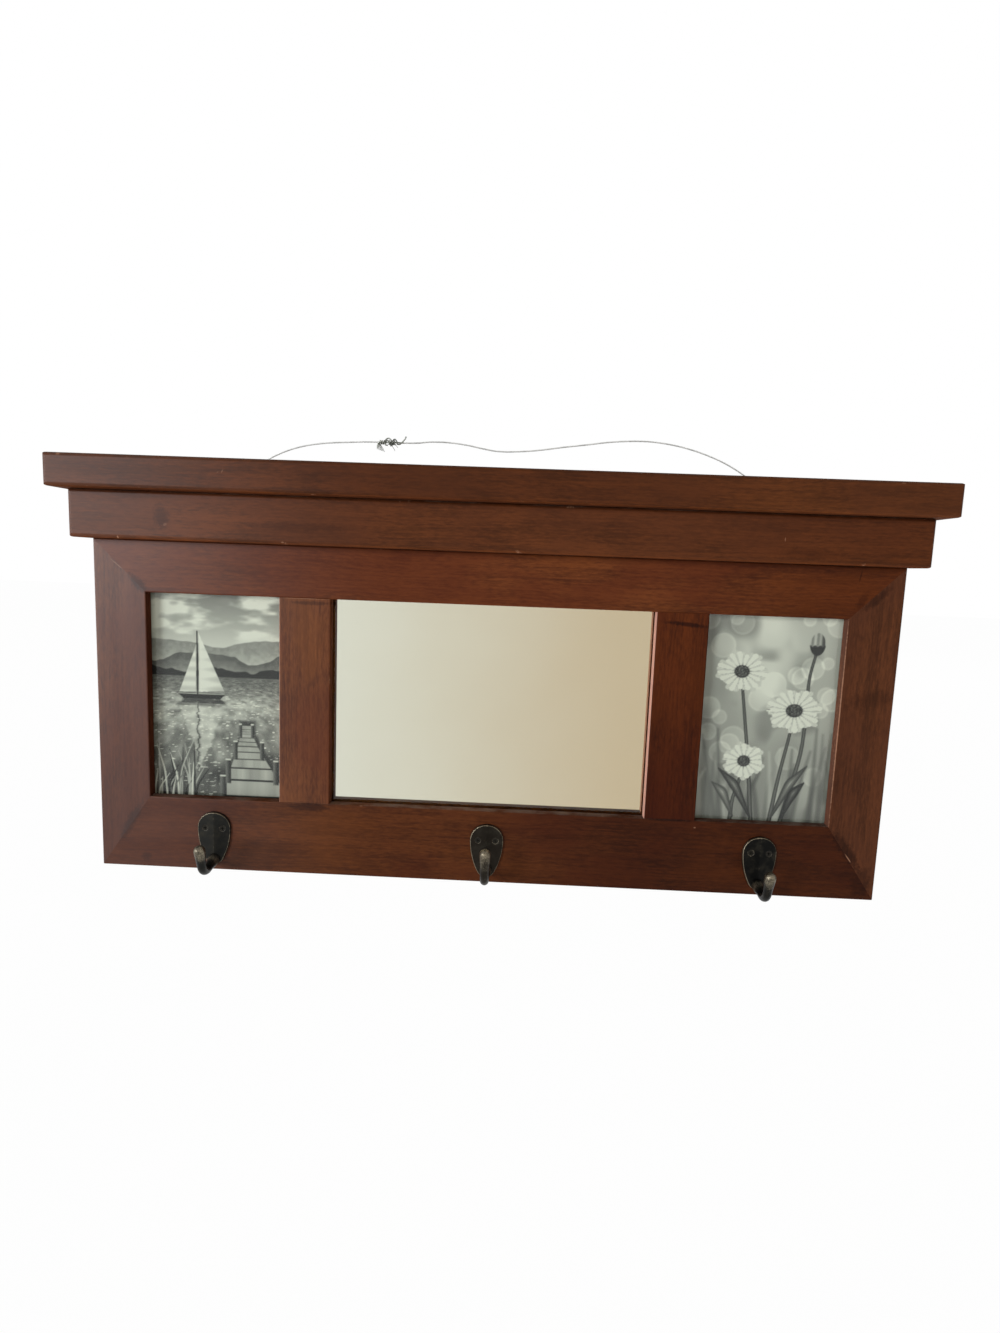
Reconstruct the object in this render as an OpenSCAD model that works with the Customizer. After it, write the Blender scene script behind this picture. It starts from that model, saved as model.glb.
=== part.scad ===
// Wall mirror between two photo openings, in a mitred wooden frame with a
// stepped crown, three cast coat hooks and a hanging wire.
// +Z is up, the front faces -Y, and Y = 0 is the back face of the frame.
// The origin is where the nail in the wall carries the wire. Millimetres.

/* [Frame] */
// Width of each photo opening
photo_open_w = 92; // [80:1:110]
// Width of the mirror opening
mirror_open_w = 221; // [180:1:280]
// Height of the three openings
open_h = 144; // [120:1:180]
// Face width of the two outer stiles
stile_w = 35.5; // [30:0.5:45]
// Face width of the two mullions beside the mirror
mullion_w = 35.5; // [30:0.5:45]
// Face width of the top rail
top_rail_w = 35.5; // [30:0.5:45]
// Face width of the bottom rail, which carries the hooks
bottom_rail_w = 52; // [50:0.5:65]
// Thickness of the frame's boards
frame_t = 15; // [13.5:0.5:20]
// Thickness of the lip in front of the glass
lip_t = 7; // [5:0.5:7.5]
// How far the lip covers the edge of the glass
lip_w = 5; // [3:0.5:7]
// Radius of the eased front edges
ease_r = 1; // [0.5:0.25:1.5]
// Radius of the frame's two lower corners
corner_r = 1.5; // [0.5:0.25:3]

/* [Crown] */
// Height of the fascia board
fascia_h = 32; // [24:0.5:45]
// How far the fascia stands out past the frame, at the front and the sides
fascia_overhang = 10.5; // [6:0.5:16]
// Thickness of the cap board
cap_h = 21.5; // [15:0.5:28]
// How far the cap stands out past the fascia
cap_overhang = 10; // [6:0.5:16]
// Radius of the rounded edges of both crown boards
crown_r = 2.5; // [1:0.25:4]

/* [Glass and backs] */
// Thickness of the mirror glass
mirror_t = 3; // [2:0.5:3]
// Thickness of the photo glass
photo_glass_t = 2; // [1.5:0.5:2.5]
// Thickness of a photo print
print_t = 0.3; // [0.2:0.1:0.5]
// Thickness of the hardboard backs
back_t = 3; // [2:0.5:3]
// Gap between a pane and the wall of its rebate
pane_gap = 0.2; // [0.1:0.1:0.5]
// How deep the photo backs lie below the frame's back face
photo_back_recess = 0.2; // [0.1:0.1:0.4]
// How deep the mirror back lies below the frame's back face
mirror_back_recess = 0.8; // [0.6:0.1:1]

/* [Joint hardware] */
// Thickness of the sheet steel of the corner nails and the glazing points
sheet_t = 0.5; // [0.3:0.1:0.6]
// How deep the corner nails are driven into the mitres
corner_nail_depth = 7; // [4:0.5:9]
// Leg length of a corner nail
corner_nail_leg = 4.5; // [3:0.5:5]
// Width of a glazing point
point_w = 6; // [4:0.5:9]
// How far a glazing point reaches over the mirror back
point_reach = 8; // [5:0.5:12]
// How far a glazing point is driven into the wood
point_root = 5; // [3:0.5:8]

/* [Turn buttons] */
// Thickness of a turn button
button_t = 1; // [0.8:0.1:1.5]
// Radius of the button round its screw
button_r = 4.5; // [4:0.25:6]
// Radius of the button's tip
button_tip_r = 3; // [2:0.25:4]
// Distance from the screw to the centre of the tip
button_reach = 15; // [12:0.5:20]
// Distance from the edge of the rebate to the screw
button_setback = 6; // [5:0.5:8]
// Radius of the button screw's shank
button_screw_r = 1.5; // [1.25:0.05:1.75]

/* [Coat hooks] */
// How far the centre hook sits from the middle of the frame
center_hook_x = 1.5; // [-6:0.5:6]
// Height of the top of the hook plates above the frame's bottom edge
hook_top = 43; // [40:0.5:48]
// Height of the two side hooks, from the top of the plate to the underside of the bend
side_hook_h = 40; // [37:0.2:41]
// Height of the centre hook, from the top of its plate to the underside of its bend
center_hook_h = 37.8; // [36:0.2:40]
// Width of a hook plate
plate_w = 23.5; // [20:0.5:26]
// Height of a hook plate
plate_h = 38.4; // [33:0.2:40]
// Radius of the foot of the plate
plate_foot_r = 7; // [5:0.25:8]
// Thickness of the plate at its ridge
plate_t = 2.8; // [2.6:0.1:4]
// How far the plate's two faces fall away from the ridge to the sides
plate_fall = 1; // [0.6:0.1:1.2]
// How far the plate's slanting rim leans in
plate_draft = 0.5; // [0.3:0.1:1]
// Radius of the hook's rod
rod_r = 3; // [2.4:0.1:3.4]
// Radius of the rod's root on the plate
root_r = 4.6; // [4:0.1:5.8]
// Radius of the bend at the bottom of the hook, on the rod's centre line
bend_r = 8.5; // [7:0.25:10]
// How far the centre of the bend stands out from the rail
bend_out = 15; // [13.5:0.25:18]
// Slope of the root below level, in degrees
root_slope = 12; // [6:1:25]
// How far the arms of the two side hooks lean out, in degrees
side_lean = 15; // [5:1:25]
// Length of the straight arms of the two side hooks
side_arm = 12; // [8:0.5:16]
// How far the arm of the centre hook leans out, in degrees
center_lean = 4; // [0:1:15]
// Length of the straight arm of the centre hook
center_arm = 14; // [8:0.5:18]
// Radius of the ball at the tip of the arm
tip_r = 3.8; // [3.4:0.1:4.5]
// Distance between the two screws of a hook
hook_screw_gap = 12.4; // [10:0.2:14]
// Distance from the top of the plate down to its screws
hook_screw_drop = 11.6; // [9:0.2:13]
// Radius of the hook screw's shank
hook_screw_r = 1.2; // [1:0.1:1.5]
// Radius of the hook screw's head
hook_screw_head_r = 2; // [1.8:0.1:2.8]
// How deep the hook screws go into the rail
hook_screw_depth = 11; // [8:0.5:12]

/* [Hangers] */
// How far the rings' axis lies below the frame's top edge
hanger_drop = 31.5; // [18:0.5:50]
// Height of the nail in the wall above the rings' axis
wire_rise = 99.5; // [90:0.5:110]
// Thickness of the hanger strap
strap_t = 1.3; // [1.2:0.1:1.6]
// Width of the hanger strap
strap_w = 10; // [8:0.5:13]
// Length of the hanger strap below the rings' axis
strap_l = 27; // [24:0.5:35]
// Distance between the two screws of a strap
strap_screw_gap = 13; // [10:0.5:16]
// Radius of the ring's steel rod
ring_rod_r = 1.2; // [1:0.05:1.3]
// Radius of the ring's round end, on the centre line
ring_r = 9; // [8:0.25:11]
// Length of the straight legs between the ring's bar and its round end
ring_leg = 3; // [2:0.25:5]
// Diameter of the hanging wire
wire_d = 1; // [0.8:0.1:1]
// Length of the wire's wraps at each ring
tie_l = 12; // [8:0.5:16]
// Radius of the wire's wraps at each ring
tie_r = 1.2; // [1:0.1:1.6]
// Radius of the foam pads that keep the frame off the wall
pad_r = 6; // [4:0.5:8]
// Thickness of the foam pads
pad_t = 5; // [4:0.5:6]

/* [Fits] */
// Radial gap between a screw and its hole in the wood or the metal
screw_gap = 0.05; // [0.02:0.01:0.1]
// Radial gap between a ring's bar and the loop of its strap
ring_gap = 0.05; // [0.02:0.01:0.08]
// Gap between a turn button and the head of its screw
button_gap = 0.1; // [0.05:0.05:0.2]
// Gap between the wire's loop and the ring
tie_gap = 0.05; // [0.03:0.01:0.1]

/* [Hidden] */
$fn = 64;

wood = [0.36, 0.17, 0.11];
end_wood = [0.33, 0.15, 0.10];
hardboard = [0.45, 0.31, 0.20];
bronze = [0.17, 0.16, 0.13];
steel = [0.62, 0.62, 0.60];
brass_plate = [0.70, 0.58, 0.33];

// heights above the frame's bottom edge, and half widths
open_z = bottom_rail_w;
open_top_z = open_z + open_h;
frame_h = open_top_z + top_rail_w;
cap_z = frame_h + fascia_h;
frame_w = mirror_open_w + 2 * (mullion_w + photo_open_w + stile_w);
inner_x = frame_w / 2 - stile_w;
photo_x = mirror_open_w / 2 + mullion_w + photo_open_w / 2;
mullion_x = mirror_open_w / 2 + mullion_w / 2;
stile_x = inner_x + stile_w / 2;
// heights of the rings' axis and of the nail above the frame's bottom edge
hanger_z = frame_h - hanger_drop;
nail_z = hanger_z + wire_rise;
// a cut runs this far past the face that it opens
past = 1;
// the screws in the back go this deep before their points begin
pilot_depth = 8;

// the panes' stack in the rebate, from the lip to the back face
glass_y = -frame_t + lip_t;
photo_back_y = -photo_back_recess - back_t;
mirror_back_y = -mirror_back_recess - back_t;
mirror_y = glass_y + mirror_t;
print_y = glass_y + photo_glass_t;
filler_y = print_y + print_t;

// the rings' axis lies where the strap's loop just meets the back face
ring_y = strap_t + ring_rod_r + ring_gap;
ring_mid_z = hanger_z + ring_leg;

// mitre lines, each from the inner corner of the openings to the frame's corner
function corner_line(sx, top) = [
    [sx * inner_x, top ? open_top_z : open_z],
    [sx * frame_w / 2, top ? frame_h : 0]];
function on_line(line, t) = line[0] + (line[1] - line[0]) * t;

// Everything stands on the frame's bottom edge here and hangs from the nail outside
module placed() translate([0, 0, -nail_z]) children();
// draws its outline in the X-Z plane, as thick as deep, towards the front from Y = y
module from_front(y, deep) translate([0, y, 0]) rotate([90, 0, 0]) linear_extrude(deep) children();
// draws in the Y-Z plane, with the outline's own z along X
module side_on() rotate([90, 0, 90]) children();

// Direction of a row of rings at ring i
function heading(p, i) =
    let (a = p[max(i - 1, 0)], b = p[min(i + 1, len(p) - 1)], d = [b[0] - a[0], b[1] - a[1]]) d / norm(d);
// A ring of a rod, from its place and its radius
function ringed(p, r) = [p[0], p[1], r];

// Round rod through rings [x, y, radius] that stand square to their path in the X-Y plane
module swept_rod(rings, sides) {
    n = len(rings);
    points = [for (i = [0 : n - 1], k = [0 : sides - 1])
        let (a = 360 * k / sides, h = heading(rings, i), r = rings[i][2])
            [rings[i][0] - r * cos(a) * h[1], rings[i][1] + r * cos(a) * h[0], r * sin(a)]];
    walls = [for (i = [0 : n - 2], k = [0 : sides - 1])
        let (a = i * sides + k, b = i * sides + (k + 1) % sides)
            each [[a, a + sides, b], [b, a + sides, b + sides]]];
    polyhedron(points, concat(walls, [[for (k = [0 : sides - 1]) k],
        [for (k = [sides - 1 : -1 : 0]) (n - 1) * sides + k]]));
}

// ---------- frame ----------

// Cross-section of a frame member: x from the inner edge out, y from the front face back
module member_section(w) {
    difference() {
        union() {
            translate([0, ease_r]) square([w, frame_t - ease_r]);
            translate([ease_r, 0]) square([w - 2 * ease_r, frame_t]);
            for (x = [ease_r, w - ease_r]) translate([x, ease_r]) circle(ease_r);
        }
        translate([-past, lip_t]) square([lip_w + past, frame_t]);
    }
}

// The part of the frame's face between two mitre lines, run a little past their ends
module between_mitres(a, b) {
    from_front(past, frame_t + 2 * past)
        polygon([on_line(a, -0.1), on_line(a, 1.1), on_line(b, 1.1), on_line(b, -0.1)]);
}

// The frame's outline, with its two lower corners rounded; it runs on past the top
module frame_outline() {
    from_front(past, frame_t + 2 * past) translate([-frame_w / 2, 0])
        rounded_rect(frame_w, frame_h + 2 * corner_r, corner_r);
}

module rail(top) {
    color(wood) difference() {
        intersection() {
            if (top)
                translate([frame_w / 2, -frame_t, open_top_z]) rotate([0, -90, 0])
                    linear_extrude(frame_w) member_section(top_rail_w);
            else
                translate([-frame_w / 2, -frame_t, open_z]) rotate([0, 90, 0])
                    linear_extrude(frame_w) member_section(bottom_rail_w);
            between_mitres(corner_line(-1, top), corner_line(1, top));
            frame_outline();
        }
        corner_nail_pair(-1, top);
        corner_nail_pair(1, top);
        for (sx = [-1, 1]) {
            rail_point(sx, top);
            translate([sx * photo_x, 0, button_z(top)]) pilot_hole(button_screw_r);
        }
        if (!top) for (x = hook_places) translate([x, 0, 0]) hook_screw_holes();
    }
}

module stile(sx) {
    color(end_wood) difference() {
        intersection() {
            translate([sx * inner_x, -frame_t, sx < 0 ? frame_h : 0]) rotate([0, sx < 0 ? 180 : 0, 0])
                linear_extrude(frame_h) member_section(stile_w);
            between_mitres(corner_line(sx, false), corner_line(sx, true));
            frame_outline();
        }
        corner_nail_pair(sx, false);
        corner_nail_pair(sx, true);
        strap_screw_places(sx) pilot_hole(hook_screw_r);
    }
}

// A mullion: a lip as high as the opening, on a back that runs over the rails' rebates
module mullion(sx) {
    color(wood) difference() {
        translate([sx * mullion_x, -frame_t, open_z]) union() {
            linear_extrude(open_h) translate([-mullion_w / 2, 0]) {
                translate([0, ease_r]) square([mullion_w, lip_t - ease_r]);
                translate([ease_r, 0]) square([mullion_w - 2 * ease_r, lip_t]);
                for (x = [ease_r, mullion_w - ease_r]) translate([x, ease_r]) circle(ease_r);
            }
            translate([-mullion_w / 2 + lip_w, lip_t - ease_r, 0])
                cube([mullion_w - 2 * lip_w, frame_t - lip_t + ease_r, open_h]);
            translate([-mullion_w / 2 + lip_w, lip_t, -lip_w])
                cube([mullion_w - 2 * lip_w, frame_t - lip_t, open_h + 2 * lip_w]);
        }
        mullion_point(sx);
    }
}

// ---------- steel in the joints ----------

// where the two nails sit along a mitre, from the openings' corner to the frame's corner
corner_nail_places = [0.36, 0.68];
// Two chevron nails across a mitre, driven in flush with the back face
module corner_nail_pair(sx, top) {
    line = corner_line(sx, top);
    run = line[1] - line[0];
    leg = corner_nail_leg;
    wall = sheet_t * sqrt(2);
    for (t = corner_nail_places)
        from_front(0, corner_nail_depth) translate(on_line(line, t)) rotate(atan2(run[1], run[0]))
            polygon([[0, 0], [-leg, leg], [-leg, leg - wall], [-wall, 0], [-leg, wall - leg], [-leg, -leg]]);
}

module corner_nails() {
    color(steel) for (sx = [-1, 1], top = [false, true]) corner_nail_pair(sx, top);
}

// A flat pointed tab that lies on the mirror back; it points along +Z and its root is below Z = 0
module glazing_point() {
    from_front(-mirror_back_recess + sheet_t, sheet_t)
        polygon([[-point_w / 2, -point_root], [point_w / 2, -point_root],
            [point_w / 2, point_reach - point_w / 2], [0, point_reach],
            [-point_w / 2, point_reach - point_w / 2]]);
}

module rail_point(sx, top) {
    z = top ? open_top_z + lip_w : open_z - lip_w;
    translate([sx * mirror_open_w / 4, 0, z]) rotate([0, top ? 180 : 0, 0]) glazing_point();
}

module mullion_point(sx) {
    translate([sx * (mirror_open_w / 2 + lip_w), 0, open_z + open_h / 2]) rotate([0, -90 * sx, 0])
        glazing_point();
}

module glazing_points() {
    color(steel) for (sx = [-1, 1]) {
        rail_point(sx, false);
        rail_point(sx, true);
        mullion_point(sx);
    }
}

// ---------- crown ----------

// Rectangle with rounded corners, from the origin
module rounded_rect(w, h, r) {
    translate([r, 0]) square([w - 2 * r, h]);
    translate([0, r]) square([w, h - 2 * r]);
    for (x = [r, w - r], y = [r, h - r]) translate([x, y]) circle(r);
}

// Board with every edge rounded, centred on X, its back at Y = 0 and its foot at Z = 0
module rounded_board(w, deep, h, r) {
    translate([-w / 2, -deep, 0]) intersection() {
        linear_extrude(h) rounded_rect(w, deep, r);
        translate([0, deep, 0]) rotate([90, 0, 0]) linear_extrude(deep) rounded_rect(w, h, r);
        side_on() linear_extrude(w) rounded_rect(deep, h, r);
    }
}

module fascia_board() {
    color(wood) translate([0, 0, frame_h])
        rounded_board(frame_w + 2 * fascia_overhang, frame_t + fascia_overhang, fascia_h, crown_r);
}

module cap_board() {
    over = fascia_overhang + cap_overhang;
    color(wood) translate([0, 0, cap_z]) rounded_board(frame_w + 2 * over, frame_t + over, cap_h, crown_r);
}

// ---------- mirror, photos and their backs ----------

// A pane that fills the rebate round an opening w wide, centred at x, from Y = y to y + t
module pane(x, w, y, t) {
    wide = w + 2 * (lip_w - pane_gap);
    high = open_h + 2 * (lip_w - pane_gap);
    translate([x - wide / 2, y, open_z + open_h / 2 - high / 2]) cube([wide, t, high]);
}

module mirror_glass() color([0.86, 0.84, 0.77]) pane(0, mirror_open_w, glass_y, mirror_t);
module mirror_pad() color([0.62, 0.52, 0.38]) pane(0, mirror_open_w, mirror_y, mirror_back_y - mirror_y);
module mirror_back() color(hardboard) pane(0, mirror_open_w, mirror_back_y, back_t);
module photo_glass(sx) color([0.8, 0.86, 0.84, 0.35])
    pane(sx * photo_x, photo_open_w, glass_y, photo_glass_t);
module photo_print(sx) color([0.56, 0.57, 0.53]) pane(sx * photo_x, photo_open_w, print_y, print_t);
module photo_filler(sx) color([0.66, 0.56, 0.42])
    pane(sx * photo_x, photo_open_w, filler_y, photo_back_y - filler_y);
module photo_back(sx) color(hardboard) pane(sx * photo_x, photo_open_w, photo_back_y, back_t);

// ---------- screws ----------

// Cross recess of a screw head, cut down from Z = 0
module cross_recess(r) {
    for (a = [0, 90]) rotate(a) translate([-r * 0.6, -r * 0.13, -r * 0.45]) cube([r * 1.2, r * 0.26, r]);
}

// Round-headed screw along +Z: the head stands on Z = 0 and the shank goes down
module round_screw(r, head_r, depth) {
    head_h = head_r * 0.62;
    difference() {
        union() {
            intersection() {
                cylinder(h = head_h, r = head_r);
                translate([0, 0, head_h - head_r * 1.12]) sphere(head_r * 1.12);
            }
            translate([0, 0, -depth]) cylinder(h = depth + 0.2, r = r);
            translate([0, 0, -depth - 2 * r]) cylinder(h = 2 * r, r1 = 0.2, r2 = r);
        }
        translate([0, 0, head_h]) cross_recess(head_r);
    }
}

// Pilot hole in the wood for a screw of radius r, going in from the back face along -Y
module pilot_hole(r) {
    translate([0, past, 0]) rotate([90, 0, 0]) cylinder(h = pilot_depth + past + 2 * r, r = r + screw_gap);
}

// ---------- turn buttons ----------

function button_z(top) = top ? open_top_z + lip_w + button_setback : open_z - lip_w - button_setback;

// Outline of a button that points along +Y: two rounds and the flanks that touch both
module button_outline() {
    k = (button_r - button_tip_r) / button_reach;
    c = sqrt(1 - k * k);
    circle(button_r);
    translate([0, button_reach]) circle(button_tip_r);
    polygon([[button_r * c, button_r * k], [button_tip_r * c, button_reach + button_tip_r * k],
        [-button_tip_r * c, button_reach + button_tip_r * k], [-button_r * c, button_r * k]]);
}

module turn_button(sx, top) {
    color(brass_plate) translate([sx * photo_x, 0, button_z(top)]) rotate([-90, 0, 0])
        mirror([0, top ? 0 : 1, 0]) difference() {
            linear_extrude(button_t) button_outline();
            translate([0, 0, -past]) cylinder(h = button_t + 2 * past, r = button_screw_r + screw_gap);
        }
}

module button_screws() {
    color(steel) for (sx = [-1, 1], top = [false, true])
        translate([sx * photo_x, button_t + button_gap, button_z(top)]) rotate([-90, 0, 0])
            round_screw(button_screw_r, 2 * button_screw_r, pilot_depth + button_t);
}

// ---------- coat hooks ----------

plate_r = plate_w / 2;
rod_sides = 20;
// the plate's outline: a top arc, a foot arc and two flank arcs that touch both of them
flank_drop = plate_h - plate_r - plate_foot_r;
flank_r = (flank_drop ^ 2 + plate_r ^ 2 - plate_foot_r ^ 2) / (2 * (plate_r - plate_foot_r));
flank_dir = [flank_r - plate_r, -flank_drop] / (flank_r - plate_foot_r);
hook_screw_z = hook_top - hook_screw_drop;
// how far the flat heads of the hook screws stand out from the rail, just under the plate's face
hook_seat = plate_t - plate_fall * hook_screw_gap / plate_w - 0.3;

module drafted_disc(r) cylinder(h = plate_t, r1 = r, r2 = r - plate_draft);

// The egg-shaped plate, lying flat on Z = 0 with the centre of its top arc at the origin
module plate_blank() {
    foot = [0, -flank_drop];
    far = 2 * plate_foot_r * flank_dir;
    drafted_disc(plate_r);
    translate(foot) drafted_disc(plate_foot_r);
    intersection() {
        translate([flank_r - plate_r, 0, 0]) drafted_disc(flank_r);
        translate([plate_r - flank_r, 0, 0]) drafted_disc(flank_r);
        linear_extrude(plate_t) polygon([foot, foot + far, [plate_w, foot[1]], [plate_w, 0],
            [-plate_w, 0], [-plate_w, foot[1]], foot + [-far[0], far[1]]]);
    }
}

// The plate on the rail: two faces that fall away from a ridge, with countersunk holes
module hook_plate() {
    deep = hook_screw_head_r - hook_screw_r;
    difference() {
        intersection() {
            translate([0, 0, hook_top - plate_r]) rotate([90, 0, 0]) plate_blank();
            translate([0, 0, hook_top - plate_h]) linear_extrude(plate_h)
                polygon([[-plate_r, 0], [plate_r, 0], [plate_r, plate_fall - plate_t], [0, -plate_t],
                    [-plate_r, plate_fall - plate_t]]);
        }
        for (s = [-1, 1]) translate([s * hook_screw_gap / 2, 0, hook_screw_z]) rotate([90, 0, 0]) {
            translate([0, 0, -past]) cylinder(h = plate_t + 2 * past, r = hook_screw_r + screw_gap);
            translate([0, 0, hook_seat - deep])
                cylinder(h = deep, r1 = hook_screw_r + screw_gap, r2 = hook_screw_head_r + screw_gap);
            translate([0, 0, hook_seat]) cylinder(h = plate_t, r = hook_screw_head_r + screw_gap);
        }
    }
}

// Smooth step from 0 to 1
function ease(t) = t * t * (3 - 2 * t);

// The rod of a hook in the Y-Z plane: [y, z, radius] from a flared root inside the rail,
// round the bend and up a straight arm that swells into a ball
function rod_rings(high, lean, arm) =
    let (mid = [-frame_t - bend_out, hook_top - high + rod_r + bend_r],
        low = mid + bend_r * [sin(root_slope), -cos(root_slope)],
        root = low + (-frame_t + root_r - low[0]) * [1, tan(root_slope)],
        turn = mid - bend_r * [cos(lean), sin(lean)],
        up = [-sin(lean), cos(lean)],
        tip = turn + arm * up)
    concat(
        [for (t = [0 : 0.2 : 0.81]) ringed(root + (low - root) * t, rod_r + (root_r - rod_r) * ease(1 - t))],
        [for (t = [0 : 0.1 : 1]) let (a = root_slope - (root_slope + 90 - lean) * t)
            ringed(mid + bend_r * [sin(a), -cos(a)], rod_r)],
        [for (t = [0.25 : 0.25 : 1]) ringed(turn + arm * up * t, rod_r + (tip_r - rod_r) * ease(t))],
        [for (a = [20 : 20 : 80]) ringed(tip + tip_r * sin(a) * up, tip_r * cos(a))]);

module hook_rod(high, lean, arm) side_on() swept_rod(rod_rings(high, lean, arm), rod_sides);

module coat_hook(x, high, lean, arm) {
    color(bronze) translate([x, 0, 0]) {
        translate([0, -frame_t, 0]) hook_plate();
        difference() {
            hook_rod(high, lean, arm);
            // the rail's face cuts the root off flat
            translate([-plate_w, -frame_t, 0]) cube([2 * plate_w, frame_t, hook_top]);
        }
    }
}

// Places of the hooks: under the middle of the mirror and of each photo
hook_places = [-photo_x, center_hook_x, photo_x];

module at_hook_screws() {
    for (s = [-1, 1]) translate([s * hook_screw_gap / 2, -frame_t, hook_screw_z]) rotate([90, 0, 0])
        children();
}

module hook_screw_holes() {
    at_hook_screws() translate([0, 0, -hook_screw_depth])
        cylinder(h = hook_screw_depth + past, r = hook_screw_r + screw_gap);
}

// Flat-headed screws, sunk in the hook plates
module hook_screws() {
    deep = hook_screw_head_r - hook_screw_r;
    tip = 2 * hook_screw_r;
    color(bronze) for (x = hook_places) translate([x, 0, 0]) at_hook_screws() difference() {
        union() {
            translate([0, 0, hook_seat - deep]) cylinder(h = deep, r1 = hook_screw_r, r2 = hook_screw_head_r);
            translate([0, 0, tip - hook_screw_depth])
                cylinder(h = hook_screw_depth - tip + hook_seat - deep / 2, r = hook_screw_r);
            translate([0, 0, -hook_screw_depth]) cylinder(h = tip, r1 = 0.2, r2 = hook_screw_r);
        }
        translate([0, 0, hook_seat]) cross_recess(hook_screw_head_r);
    }
}

// ---------- hangers ----------

// The upper screw sits this far below the rings' axis
strap_screw_drop = 9;
module strap_screw_places(sx) {
    for (drop = [strap_screw_drop, strap_screw_drop + strap_screw_gap])
        translate([sx * stile_x, 0, hanger_z - drop]) children();
}

// A strap that lies on the stile, with a loop that holds the ring's bar
module hanger_strap(sx) {
    color(brass_plate) difference() {
        translate([sx * stile_x, 0, hanger_z]) {
            translate([0, strap_t, 0]) from_front(0, strap_t) {
                translate([-strap_w / 2, strap_w / 2 - strap_l]) square([strap_w, strap_l - strap_w / 2]);
                translate([0, strap_w / 2 - strap_l]) circle(strap_w / 2);
            }
            translate([-strap_w / 2, ring_y, 0]) rotate([0, 90, 0]) cylinder(h = strap_w, r = ring_y);
        }
        translate([sx * stile_x - strap_w, ring_y, hanger_z]) rotate([0, 90, 0])
            cylinder(h = 2 * strap_w, r = ring_rod_r + ring_gap);
        strap_screw_places(sx) translate([0, strap_t + past, 0]) rotate([90, 0, 0])
            cylinder(h = strap_t + 2 * past, r = hook_screw_r + screw_gap);
    }
}

module hanger_screws() {
    color(brass_plate) for (sx = [-1, 1]) strap_screw_places(sx) translate([0, strap_t, 0])
        rotate([-90, 0, 0]) round_screw(hook_screw_r, 2 * hook_screw_r, pilot_depth + strap_t - past);
}

// D-shaped ring that stands up from the strap: a bar, two legs and a half circle
module ring(sx) {
    color(steel) translate([sx * stile_x, ring_y, hanger_z]) {
        translate([-ring_r, 0, 0]) rotate([0, 90, 0]) cylinder(h = 2 * ring_r, r = ring_rod_r);
        for (s = [-1, 1]) translate([s * ring_r, 0, 0]) {
            sphere(ring_rod_r);
            cylinder(h = ring_leg, r = ring_rod_r);
        }
        translate([0, 0, ring_leg]) rotate([90, 0, 0]) rotate_extrude(angle = 180)
            translate([ring_r, 0]) circle(ring_rod_r);
    }
}

// The wire leaves each ring at 45 degrees, inwards and up
tie_loop_r = ring_rod_r + tie_gap + wire_d / 2;
tie_from = tie_loop_r;
function tie_dir(sx) = [-sx, 1] * sin(45);
function ring_point(sx) = [sx * stile_x, ring_mid_z] + ring_r * tie_dir(sx);
function tie_end(sx) = ring_point(sx) + (tie_from + tie_l) * tie_dir(sx);

// The wire's end: a loop round the ring, then wraps round the wire itself
module wire_tie(sx) {
    color(steel) translate([ring_point(sx)[0], ring_y, ring_point(sx)[1]]) rotate([0, -45 * sx, 0]) {
        rotate([0, 90, 0]) rotate_extrude() translate([tie_loop_r, 0]) circle(wire_d / 2);
        translate([0, 0, tie_from]) cylinder(h = tie_l, r = tie_r);
    }
}

// The knot in the wire, along X: lumpy wraps round the wire, and two cut tails
knot_x = [-83, -66];
knot_rise = 103.5;
knot_lumps = [0.9, 1.7, 2.3, 1.6, 2.3, 1.7, 2.2, 1.6, 1.9, 0.9];

module wire_knot() {
    step = (knot_x[1] - knot_x[0]) / (len(knot_lumps) - 1);
    color(steel) translate([knot_x[0], ring_y, hanger_z + knot_rise]) {
        rotate([90, 0, 0]) swept_rod([for (i = [0 : len(knot_lumps) - 1]) [i * step, 0, knot_lumps[i]]],
            rod_sides / 2);
        for (tail = [[6, 50, 10], [2, 215, 8]])
            translate([tail[0] * step, 0, 0]) rotate([0, tail[1], 0]) cylinder(h = tail[2], r = wire_d / 2);
    }
}

// Routes of the wire, in X and in height above the rings' axis
left_route = [[-231, 28], [-220, 39.5], [-207, 52.5], [-193, 65], [-178, 77], [-164, 86.5],
    [-150, 94], [-136, 98.8], [-120, 101.6], [-103, 102.8], [-92, 103.4]];
right_route = [[231.5, 27.5], [221, 39], [208, 52.5], [194, 66.5], [180, 79.5], [167, 89.2],
    [154, 96.6], [141, 101.9], [128, 105.8], [115, 108.4], [101, 109.8], [87, 109.6], [73, 108.4],
    [58, 106.2], [43, 104.2], [29, 102], [15, 100.5], [0, 100], [-11, 101.4], [-22, 103.4],
    [-34, 104.7], [-46, 104.8], [-56, 103.8]];

// The route with its ends: straight out of the tie, and straight into the knot
function whole_route(sx, route, knot_end) = concat(
    [tie_end(sx), tie_end(sx) + 2 * wire_d * tie_dir(sx)],
    [for (p = route) [p[0], hanger_z + p[1]]],
    [for (back = [2 * wire_d, 0])
        [knot_end - sign(knot_end - route[len(route) - 1][0]) * back, hanger_z + knot_rise]]);

// Rings per stretch between two points of the route
rings_per_stretch = 2;
wire_sides = 8;

// Smooth curve through four points, from b to c
function between(a, b, c, d, t) = 0.5 * (2 * b + (c - a) * t + (2 * a - 5 * b + 4 * c - d) * t * t
    + (3 * b - a - 3 * c + d) * t * t * t);
function smooth(p) = let (last = len(p) - 1) concat(
    [p[0]],
    [for (i = [1 : last - 2], k = [0 : rings_per_stretch - 1])
        between(p[i - 1], p[i], p[i + 1], p[i + 2], k / rings_per_stretch)],
    [p[last - 1], p[last]]);

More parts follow.
